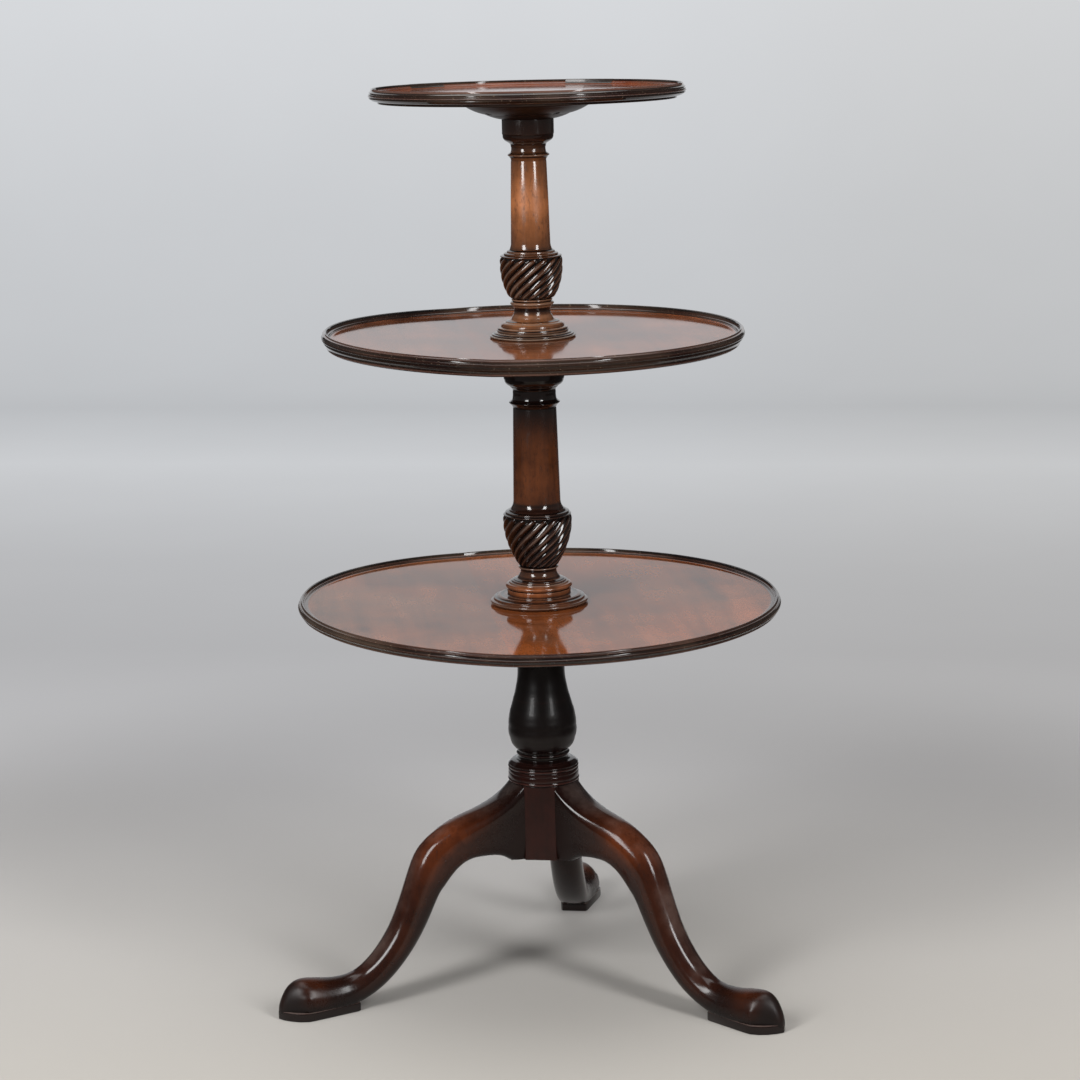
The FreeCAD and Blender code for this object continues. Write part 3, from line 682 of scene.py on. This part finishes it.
board_turn = -joint_azimuth + math.pi / 2
bottom_main_wood = tray_wood("bottom_board_mahogany", board_turn, shade(36, 19, 14), shade(166, 88, 42),
                             haze=0.14)
bottom_side_wood = tray_wood("bottom_side_board_mahogany", board_turn, shade(38, 21, 16), shade(156, 88, 48),
                             haze=0.18)
middle_main_wood = tray_wood("middle_board_mahogany", board_turn, shade(34, 17, 13), shade(156, 84, 46))
middle_side_wood = tray_wood("middle_side_board_mahogany", board_turn, shade(32, 17, 13), shade(146, 82, 50))
top_wood = tray_wood("top_tray_mahogany", 0.3, shade(34, 15, 11), shade(160, 82, 50))
repair_wood = tray_wood("rim_repair_mahogany", 1.2, shade(20, 11, 10), shade(30, 17, 14), 0.3)


def hidden_wood():
    """Unpolished dark wood of the blocks under the trays."""
    finish = Finish("boss_mahogany")
    grain = finish.noise(finish.place(turn=(0, 0, 0.4), stretch=(6, 60, 60)), 1, 4, 0.6)
    smoke = finish.noise(finish.place(), 18)
    colour = finish.mix((grain * 0.6 + smoke * 0.5 - 0.1).limited(), shade(24, 15, 12), shade(52, 34, 24))
    return finish.surface(colour, 0.32 + smoke * 0.15, finish.bump(grain, 0.3, 0.1 * mm), IOR=1.45)


def iron():
    """Black hand-forged iron."""
    finish = Finish("brace_iron")
    scale = finish.noise(finish.place(), 160, 5, 0.65)
    rust = finish.ramp(finish.noise(finish.place(), 45, 4), 0.55, 0.7)
    colour = finish.mix(rust * 0.6, shade(48, 46, 46), shade(84, 56, 42))
    return finish.surface(colour, 0.45 + scale * 0.2, finish.bump(scale, 0.5, 0.3 * mm), Metallic=0.8)


def steel():
    """Screw heads gone grey-brown."""
    finish = Finish("screw_steel")
    tarnish = finish.noise(finish.place(), 380, 3)
    colour = finish.mix(tarnish, shade(110, 104, 98), shade(72, 62, 54))
    return finish.surface(colour, 0.3 + tarnish * 0.25, finish.bump(tarnish, 0.2, 0.05 * mm), Metallic=1.0)


# Base

def build_hub_and_pillar():
    """Hub with a flat for each leg and between the legs, and the turned pillar on it."""
    form = bmesh.new()
    hub = [Vector((0, 0)), Vector((hub_radius, 0)), Vector((hub_radius, hub_height)), Vector((0, hub_height))]
    turn_outline(form, hub, hub_bottom, by_height(pillar_bare_and_shade), even(hub_dullness), flat=2 * hub_radius)
    bmesh.ops.remove_doubles(form, verts=form.verts, dist=merge_distance)
    face_outwards(form)
    between_legs = hub_radius * math.cos(math.pi / 3 - math.asin(leg_half_width / hub_radius))
    flats = [(azimuth, hub_flat) for azimuth in leg_azimuths.values()]
    flats += [(azimuth + 180, between_legs) for azimuth in leg_azimuths.values()]
    for azimuth, distance in flats:
        out = Matrix.Rotation(math.radians(azimuth), 3, "Z") @ Vector((1, 0, 0))
        cut = bmesh.ops.bisect_plane(form, geom=form.verts[:] + form.edges[:] + form.faces[:],
                                     dist=cut_tolerance, plane_co=out * distance, plane_no=out,
                                     clear_outer=True)
        bmesh.ops.contextual_create(form, geom=of_kind(cut["geom_cut"], BMEdge))
    length = middle_bottom - pillar_top
    outline = outline_of(pillar_outline)
    rest = spindle([Vector((0, outline[0].y)), *outline], journals["base"], length, True)
    turn_outline(form, rest, hub_bottom, by_height(pillar_bare_and_shade), by_height(pillar_dullness))
    finish_form(form, "turned_pillar", "base", pillar_wood_and_shade, ["base_pillar"])


def leg_ring(row):
    """Points round a leg: an arched crest above the shoulder and a squarer belly below it."""
    crest_r, crest_z, belly_r, belly_z, width, shoulder, square, ridge, _ = row
    crest = Vector((crest_r * toe_reach, 0, crest_z * leg_rise))
    belly = Vector((belly_r * toe_reach, 0, belly_z * leg_rise))
    points = []
    for step in range(ring_points):
        angle = 2 * math.pi * step / ring_points
        across, rise = math.cos(angle), math.sin(angle)
        if rise >= 0:
            level = shoulder + (1 - shoulder) * rise
        else:
            swell = (abs(across) ** square + abs(rise) ** square) ** (-1 / square)
            across *= swell
            level = shoulder * (1 + rise * swell)
        spot = belly + (crest - belly) * level
        points.append(Vector((spot.x, across * width * leg_half_width, spot.z)))
    return points


def leg_form():
    """Cabriole leg along +X, smooth, and cut where it meets the hub."""
    form = bmesh.new()
    rings = [leg_ring(row) for row in leg_rings]
    length = 0
    measures = []
    for number, (row, ring) in enumerate(zip(leg_rings, rings)):
        if number:
            length += (ring[6] - rings[number - 1][6]).length
        rises = [math.sin(2 * math.pi * step / ring_points) for step in range(ring_points)]
        kept = 1 - foot_polish * min(1, max(0, (row[0] - ankle_reach) / ankle_run))
        wear = [kept * (side_wear + crest_wear * max(0, rise)) for rise in rises]
        side = [max(0, -rise) ** side_spread for rise in rises]
        bare = [row[8] * (1 - side_polish * value) for value in side]
        hub_share = max(0, hub_end_dullness - number / dull_rings)
        foot_share = between(foot_dullness, row[0])
        dull = [max(foot_share, value * hub_share) for value in side]
        measures.append({"worn": wear, "bare": bare, "dull": dull, "run": length})
    tube(form, rings, measures)
    crease = form.edges.layers.float.new("crease_edge")
    run = form.verts.layers.float["run"]
    spot = form.verts.layers.int["spot"]
    for edge in form.edges:
        first, second = edge.verts
        if first[spot] == second[spot] and first[spot] in (0, ring_points // 2) and first[run] != second[run]:
            reach = (first.co.x + second.co.x) / 2 / toe_reach
            edge[crease] = between([(row[0], row[7]) for row in leg_rings], reach)
        elif all(abs(vert.co.x / toe_reach - foot_corner) < foot_corner_width
                 and vert.co.z < foot_corner_height for vert in edge.verts):
            edge[crease] = foot_corner_crease
    face_outwards(form)
    net = mesh_object("leg_net", form)
    rough = net.data
    smooth = net.modifiers.new("smooth", "SUBSURF")
    smooth.levels = 2
    view = bpy.context.evaluated_depsgraph_get()
    fair = bpy.data.meshes.new_from_object(net.evaluated_get(view), preserve_all_data_layers=True,
                                           depsgraph=view)
    form = bmesh.new()
    form.from_mesh(fair)
    bpy.data.objects.remove(net)
    bpy.data.meshes.remove(fair)
    bpy.data.meshes.remove(rough)
    trim(form, form.faces, Vector((hub_flat, 0, 0)), Vector((-1, 0, 0)))
    trim(form, form.faces, Vector((0, 0, hub_bottom + hub_height)), up)
    near = [face for face in form.faces if all(vert.co.x < 2 * hub_radius for vert in face.verts)]
    trim(form, near, Vector((0, 0, hub_bottom)), -up)
    return form


def trim(form, faces, spot, outward):
    """Cuts away what lies beyond a plane and closes the cut."""
    faces = list(faces)
    edges = {edge for face in faces for edge in face.edges}
    verts = {vert for face in faces for vert in face.verts}
    cut = bmesh.ops.bisect_plane(form, geom=[*verts, *edges, *faces], dist=cut_tolerance, plane_co=spot,
                                 plane_no=outward, clear_outer=True)
    rim = [edge for edge in of_kind(cut["geom_cut"], BMEdge) if edge.is_valid]
    bmesh.ops.triangle_fill(form, edges=rim, use_beauty=True, use_dissolve=True)


def add_foot_block(form):
    """Shod block under the foot, square at the heel and pointed at the toe."""
    length = toe_reach - foot_heel
    half = [Vector((foot_heel + x * length, y * foot_half_width, 0)) for x, y in foot_block_plan]
    plan = half + [Vector((point.x, -point.y, 0)) for point in half[-2::-1]]
    verts = [form.verts.new(point) for point in plan]
    base = form.faces.new(verts)
    made = bmesh.ops.extrude_face_region(form, geom=[base])["geom"]
    raised = of_kind(made, BMVert)
    bmesh.ops.translate(form, verts=raised, vec=(0, 0, foot_block_height))
    faces = {face for vert in raised for face in vert.link_faces} | {base}
    edges = [edge for edge in form.edges if set(edge.link_faces) <= faces and edge.link_faces
             and edge.calc_face_angle(0) > math.radians(60)]
    bmesh.ops.bevel(form, geom=edges, offset=foot_block_softness, offset_type="OFFSET", segments=2,
                    profile=0.5, affect="EDGES", material=-1, clamp_overlap=True)


def build_legs():
    """The three legs, copies of one; their map carries the run of the grain."""
    one_leg = leg_form()
    add_foot_block(one_leg)
    worn = one_leg.verts.layers.float["worn"]
    run = one_leg.verts.layers.float["run"]
    grain = one_leg.loops.layers.uv.new("grain")
    for face in one_leg.faces:
        for loop in face.loops:
            vert = loop.vert
            loop[grain].uv = (vert[run] if vert[run] else vert.co.x, vert.co.y + vert.co.z * grain_slant)
            # The block's top edge gets a light line, partly wear and partly a painted highlight
            on_edge = vert.co.z > foot_block_height - block_edge_width
            vert[worn] = vert[worn] or (block_edge_wear_and_highlight if on_edge else block_side_wear)
    for name, azimuth in leg_azimuths.items():
        form = one_leg.copy()
        swing(form, math.radians(azimuth))
        finish_form(form, f"cabriole_{name}", "base", leg_wood, [name])
    one_leg.free()


# Columns

def build_column(name, foot, foot_fade, dullness, urn, shaft, shaft_bare_and_shade, bottom, journal_length, journal,
                 journal_below, threaded, node, finish):
    """Foot mouldings, carved urn, shaft and cap, with the socket below and the journal above."""
    form = bmesh.new()
    foot_points = outline_of(foot)
    foot_top = foot_points[-1].y
    socket = journal_below - screw_end_step + fit
    depth = screw_end_length + socket_play
    start = [Vector((0, depth)), Vector((socket, depth)), Vector((socket, 0))]
    turn_outline(form, [*start, *foot_points, Vector((0, foot_top))], bottom, by_height(foot_fade),
                 even(dullness))
    carve_urn(form, urn, bottom + foot_top)
    rest = spindle([Vector((0, 0)), *outline_of(shaft)], journal, journal_length, threaded)
    # The shaft's bare share falls toward its top, where it also paints the shade under the tray above
    turn_outline(form, rest, bottom + foot_top + urn["height"] * mm, by_height(shaft_bare_and_shade), even(0))
    finish_form(form, name, "base", finish, [node])


# Trays

def tray_rim(edge, radius, height_scale=1):
    """Rim of a tray from its underside to the field, as radius and height."""
    return [Vector((radius - point.x, point.y * height_scale)) for point in outline_of(edge)]


def tray_outline(rim, bore, below_shares):
    """Outline of a tray from its bore out along the underside, over the rim and back across the field."""
    inner, field = rim[-1]
    across = [Vector((bore + (inner - bore) * share, field)) for share in field_shares]
    below = [Vector((bore + (rim[0].x - bore) * share, 0)) for share in below_shares]
    return [*below, *rim, *reversed(across)]


def tray_bare(radius, field, cove_bare):
    """Bare wood in the field and the cove of a tray, dark polish round its edge and below."""
    def share(point):
        inset = radius - point.x
        if point.y < field - 0.1 * mm or inset < rim_width:
            return 0.0
        return cove_bare if inset < cove_end else field_bare
    return share


def tray_form(edge, radius, underside, height_scale, bore):
    """Whole wide tray, before it is cut at the joint."""
    form = bmesh.new()
    points = tray_outline(tray_rim(edge, radius, height_scale), bore, wide_underside_shares)
    turn_outline(form, points, underside, tray_bare(radius, points[-1].y, wide_cove_bare),
                 scuffed_edge(radius), closed=True, flat=radius - worn_edge_width)
    bmesh.ops.remove_doubles(form, verts=form.verts, dist=merge_distance)
    face_outwards(form)
    return form


def build_wide_tray(tier, edge, radius, underside, field, joint, bore, main_finish, side_finish, warp, lean):
    """The two boards of a wide tray; the side board has pulled up a little at the joint."""
    across = Matrix.Rotation(joint_azimuth, 3, "Z") @ Vector((1, 0, 0))
    scale = (field - underside) / (edge[-1][1] * mm)
    for part, side, finish in (("main", 1, main_finish), ("side", -1, side_finish)):
        form = tray_form(edge, radius, underside, scale, bore)
        trim(form, form.faces, across * (joint - side * joint_gap / 2), across * side)
        if part == "side":
            swing(form, warp, across.cross(up), across * joint + up * underside)
        swing(form, lean, "X", up * underside)
        finish_form(form, f"{tier}_{part}_board", f"{tier}_tier", finish,
                    [f"{tier}_tray_{part}_board"])


def build_top_tray():
    """The top tray, turned from one board, and the two repairs of its rim."""
    form = bmesh.new()
    rim = tray_rim(top_edge, top_radius)
    field = rim[-1].y
    turn_outline(form, tray_outline(rim, 0, top_underside_shares), top_underside,
                 tray_bare(top_radius, field, top_cove_bare), scuffed_edge(top_radius),
                 flat=top_radius - worn_edge_width)
    swing(form, -top_tilt, "X", up * top_underside)
    finish_form(form, "top_tray_board", "top_tier", top_wood, ["top_tray"])
    for side, (azimuth, span) in (("left", left_repair), ("right", right_repair)):
        form = bmesh.new()
        build_repair(form, rim, field, azimuth, span)
        swing(form, -top_tilt, "X", up * top_underside)
        finish_form(form, f"top_{side}_rim_repair", "top_tier", repair_wood,
                    [f"top_rim_{side}_repair"])


def build_repair(form, rim, field, azimuth, span):
    """Length of rim let into the top tray, standing a hair above it."""
    shown = [point for point in rim if point.y >= field and point.x >= top_radius - repair_width]
    section = [Vector((shown[-1].x - repair_proud, field + repair_lift)),
               Vector((shown[0].x - repair_lap, field + repair_lift))]
    crest = max(shown, key=lambda point: point.y).x
    for point in shown:
        outward = repair_proud if point.x > crest else -repair_proud
        section.append(Vector((point.x + outward, point.y + repair_proud)))
    worn = form.verts.layers.float.new("worn")
    verts = []
    for point in section:
        vert = form.verts.new((point.x, 0, top_underside + point.y))
        vert[worn] = even_wear
        verts.append(vert)
    face = form.faces.new(verts)
    swing(form, math.radians(azimuth - span / 2))
    bmesh.ops.spin(form, geom=[face], cent=(0, 0, 0), axis=up, dvec=(0, 0, 0), angle=math.radians(span),
                   steps=repair_steps)


# Stage, light and camera

camera_distance = 3673.38 * mm
camera_height = 1316.36 * mm
camera_azimuth = math.radians(8.27)
camera_pitch = math.radians(11.5124)
camera_roll = math.radians(-1.4)
lens = 100.776
sensor_width = 36
sideways = 2.1 / 1080
far_limit = 60


def round_viewer(azimuth, distance, height):
    """Point at a bearing from the viewer's side of the column, positive to the viewer's right."""
    bearing = camera_azimuth + math.radians(azimuth)
    return Vector((distance * math.sin(bearing), column_y - distance * math.cos(bearing), height))


def build_camera():
    """Camera of the photo, aimed along its bearing and pitch and rolled a little."""
    data = bpy.data.cameras.new("photo_camera")
    data.sensor_width = sensor_width
    data.lens = lens
    data.shift_x = sideways
    data.clip_end = far_limit
    camera = placed("photo_camera", data)
    ahead = Vector((-math.sin(camera_azimuth) * math.cos(camera_pitch),
                    math.cos(camera_azimuth) * math.cos(camera_pitch), -math.sin(camera_pitch)))
    right = ahead.cross(up).normalized()
    above = right.cross(ahead)
    tipped_right = right * math.cos(camera_roll) + above * math.sin(camera_roll)
    tipped_above = above * math.cos(camera_roll) - right * math.sin(camera_roll)
    turn = Matrix((tipped_right, tipped_above, -ahead)).transposed()
    camera.matrix_world = Matrix.Translation(round_viewer(0, camera_distance, camera_height)) @ turn.to_4x4()
    scene.camera = camera


def area_light(name, spot, aim, width, height, watts):
    """Rectangular light at a spot, turned towards another."""
    data = bpy.data.lights.new(name, "AREA")
    data.shape = "RECTANGLE"
    data.size = width
    data.size_y = height
    data.energy = watts
    light = placed(name, data)
    light.location = spot
    light.rotation_mode = "QUATERNION"
    light.rotation_quaternion = (Vector(aim) - Vector(spot)).to_track_quat("-Z", "Y")
    return light


# Tones of the paper sweep by distance along it from the column, out of 255; past the lamps' reach, where the
# paper is shown at a set level, their rise and fall paint the studio's light and shade
paper_tones = (
    (-1.3, 80), (-0.9, 105), (-0.45, 184), (0.1, 191), (0.6, 189), (0.95, 191), (1.3, 187), (1.75, 181),
    (2.5, 188), (3.7, 206), (4.6, 191), (5.2, 198), (5.8, 205), (6.5, 218), (8.5, 225), (11.0, 206),
)
dark_front = -0.45
right_shade = (0.96, 0.95, 0.935, 1)
side_shade = (0.08, 0.08, 0.08, 1)
sweep_start = -1.3
sweep_bend = 4.9
bend_radius = 0.9
bend_steps = 12
sweep_top = 11.0
sweep_half_width = 6.0


def paper_finish():
    """Grey paper, lit by the lamps near the table and at a set level further out.

    Polished wood mirrors a darker room than the camera sees: the paper's sides and front are dark to it.
    """
    finish = Finish("paper_sweep")
    length = sweep_top - sweep_start
    spot = finish.add("TexCoord", {}, {}, "UV")
    along = finish.add("SeparateXYZ", {}, {"Vector": spot}, "Y")
    distance = along * length + sweep_start
    side = (finish.add("SeparateXYZ", {}, {"Vector": spot}, "X") - 0.5) * (2 * sweep_half_width)
    seen = finish.add("LightPath", {}, {}, "Is Camera Ray")
    mirrored = finish.add("LightPath", {}, {}, "Is Glossy Ray")
    stops = []
    for place, level in paper_tones:
        near, far = min(place, 1), min(place, 4)
        stops.append(((place - sweep_start) / length,
                      shade(level + 2 - 1.6 * near - 0.6 * far, level - 1 + far / 3,
                            level - 5 + 5 * near + 0.9 * far)))
    shown = finish.add("ValToRGB", {"stops": stops},
                       {"Fac": along.maths("MAXIMUM", (dark_front - sweep_start) / length)})
    dark = finish.add("ValToRGB", {"stops": stops}, {"Fac": along})
    from_middle = (side + distance * math.tan(camera_azimuth)).maths("ABSOLUTE")
    dark = finish.mix(finish.ramp(from_middle - distance * 0.2, 0.68, 0.9), dark, side_shade, "MULTIPLY")
    grey = finish.mix(seen, dark, shown)
    grey = finish.mix(finish.ramp(side, -0.6, 0.6), grey, right_shade, "MULTIPLY")
    grey = finish.mix(finish.noise(finish.place(), 2.5, 4), grey, (0.96, 0.96, 0.96, 1), "MULTIPLY")
    lit = finish.add("BsdfDiffuse", {}, {"Color": grey})
    level = finish.add("Emission", {}, {"Color": grey, "Strength": 1.0})
    out = finish.ramp((side * side + distance * distance).maths("SQRT"), 0.95, 1.75)
    both = finish.add("MixShader", {}, {0: (seen + mirrored).limited() * out, 1: lit, 2: level})
    finish.add("OutputMaterial", {}, {"Surface": both})
    return finish.owner


def build_sweep():
    """Floor that bends up into a backdrop; its map runs from side to side and along the paper."""
    form = bmesh.new()
    profile = [Vector((sweep_start, 0)), Vector((sweep_bend, 0))]
    for step in range(1, bend_steps + 1):
        angle = math.pi / 2 * step / bend_steps
        profile.append(Vector((sweep_bend + bend_radius * math.sin(angle),
                               bend_radius * (1 - math.cos(angle)))))
    arc = bend_radius * math.pi / 2
    profile.append(Vector((sweep_bend + bend_radius, bend_radius + sweep_top - sweep_bend - arc)))
    verts = [form.verts.new((-sweep_half_width, column_y + point.x, point.y)) for point in profile]
    edges = [form.edges.new(pair) for pair in zip(verts, verts[1:])]
    made = bmesh.ops.extrude_edge_only(form, edges=edges)["geom"]
    bmesh.ops.translate(form, verts=of_kind(made, BMVert), vec=(2 * sweep_half_width, 0, 0))
    paper = form.loops.layers.uv.new("paper")
    runs = [0]
    for before, here in zip(profile, profile[1:]):
        runs.append(runs[-1] + (here - before).length)
    for face in form.faces:
        for loop in face.loops:
            spot = Vector((loop.vert.co.y - column_y, loop.vert.co.z))
            number = min(range(len(profile)), key=lambda index: (profile[index] - spot).length)
            loop[paper].uv = ((loop.vert.co.x / sweep_half_width + 1) / 2, runs[number] / runs[-1])
    face_outwards(form)
    sweep = mesh_object("paper_sweep", form)
    sweep.data.shade_smooth()
    sweep.data.materials.append(paper_finish())
    sweep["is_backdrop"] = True


def build_world():
    """Grey behind the paper to the camera, and a faint fill for everything else."""
    studio = Finish("studio", "worlds")
    seen = studio.add("LightPath", {}, {}, "Is Camera Ray")
    fill = studio.add("Background", {}, {"Color": (1, 0.98, 0.96, 1), "Strength": 0.12})
    shown = studio.add("Background", {}, {"Color": shade(198, 196, 194)})
    studio.add("OutputWorld", {}, {"Surface": studio.add("MixShader", {}, {0: seen, 1: fill, 2: shown})})
    scene.world = studio.owner


tray_pieces = ("bottom_main_board", "bottom_side_board", "middle_main_board", "middle_side_board",
               "top_tray_board")
aim_height = 0.6
overhead_height = 3.3
overhead_back = 0.1
overhead_size = (2.8, 2.4)
overhead_watts = 58
softbox_distance = 2.6
softbox_middle = 1.9
strip_width = 0.22
strip_lead = 0.06
# Side, bearing in degrees, width, height and watts
softboxes = (("left", -40, 0.75, 1.9, 66), ("right", 38, 0.6, 1.8, 50))


def tray_group(name, state):
    """Collection that has a light shine on the trays alone, or on all else."""
    group = bpy.data.collections.new(name)
    for piece in tray_pieces:
        group.objects.link(bpy.data.objects[piece])
    for member in group.collection_objects:
        member.light_linking.link_state = state
    return group


def build_lights():
    """Overhead light and two softboxes, of which the trays mirror only a strip and not the whole front."""
    aim = Vector((0, column_y, aim_height))
    area_light("overhead_light", Vector((0, column_y + overhead_back, overhead_height)),
               Vector((0, column_y, 0)), *overhead_size, overhead_watts)
    trays = tray_group("trays_alone", "INCLUDE")
    others = tray_group("all_but_trays", "EXCLUDE")
    for side, azimuth, width, height, watts in softboxes:
        spot = round_viewer(azimuth, softbox_distance, softbox_middle)
        softbox = area_light(f"{side}_softbox", spot, aim, width, height, watts)
        softbox.light_linking.receiver_collection = others
        fill = area_light(f"{side}_tray_fill", spot, aim, width, height, watts)
        fill.visible_glossy = False
        fill.light_linking.receiver_collection = trays
        near = round_viewer(azimuth, softbox_distance - strip_lead, softbox_middle)
        strip = area_light(f"{side}_tray_strip", near, aim, strip_width, height, watts * strip_width / width)
        strip.visible_diffuse = False
        strip.light_linking.receiver_collection = trays


build_camera()
build_sweep()
build_world()

build_hub_and_pillar()
build_legs()
build_column("middle_turned_column", middle_foot_outline, middle_foot_fade, middle_foot_dullness, middle_urn,
             middle_shaft_outline, middle_shaft_bare_and_shade, middle_bottom, top_bottom - middle_column_top,
             journals["middle"], journals["base"], True, "middle_column", turned_wood)
build_column("top_turned_column", top_foot_outline, top_foot_fade, top_foot_dullness, top_urn,
             top_shaft_outline, top_shaft_bare_and_shade, top_bottom, top_journal_length,
             journals["top"], journals["middle"], False, "top_column", pale_turned_wood)
build_wide_tray("bottom", bottom_edge, bottom_radius, bottom_underside, bottom_field, bottom_joint,
                journals["base"] + fit, bottom_main_wood, bottom_side_wood, bottom_warp, bottom_tilt)
build_wide_tray("middle", middle_edge, middle_radius, middle_underside, middle_field, middle_joint,
                journals["middle"] + fit, middle_main_wood, middle_side_wood, middle_warp, 0)
build_top_tray()
build_lights()

for finish, names in (
        (hidden_wood(), ("bottom_boss", "middle_boss", "top_boss")),
        (iron(), ("iron_brace",)),
        (steel(), ("brace_screws", "bottom_boss_screws", "middle_boss_screws", "top_boss_screws"))):
    for name in names:
        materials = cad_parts[name].data.materials
        materials.clear()
        materials.append(finish)

scene.view_settings.view_transform = "Standard"

low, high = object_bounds()
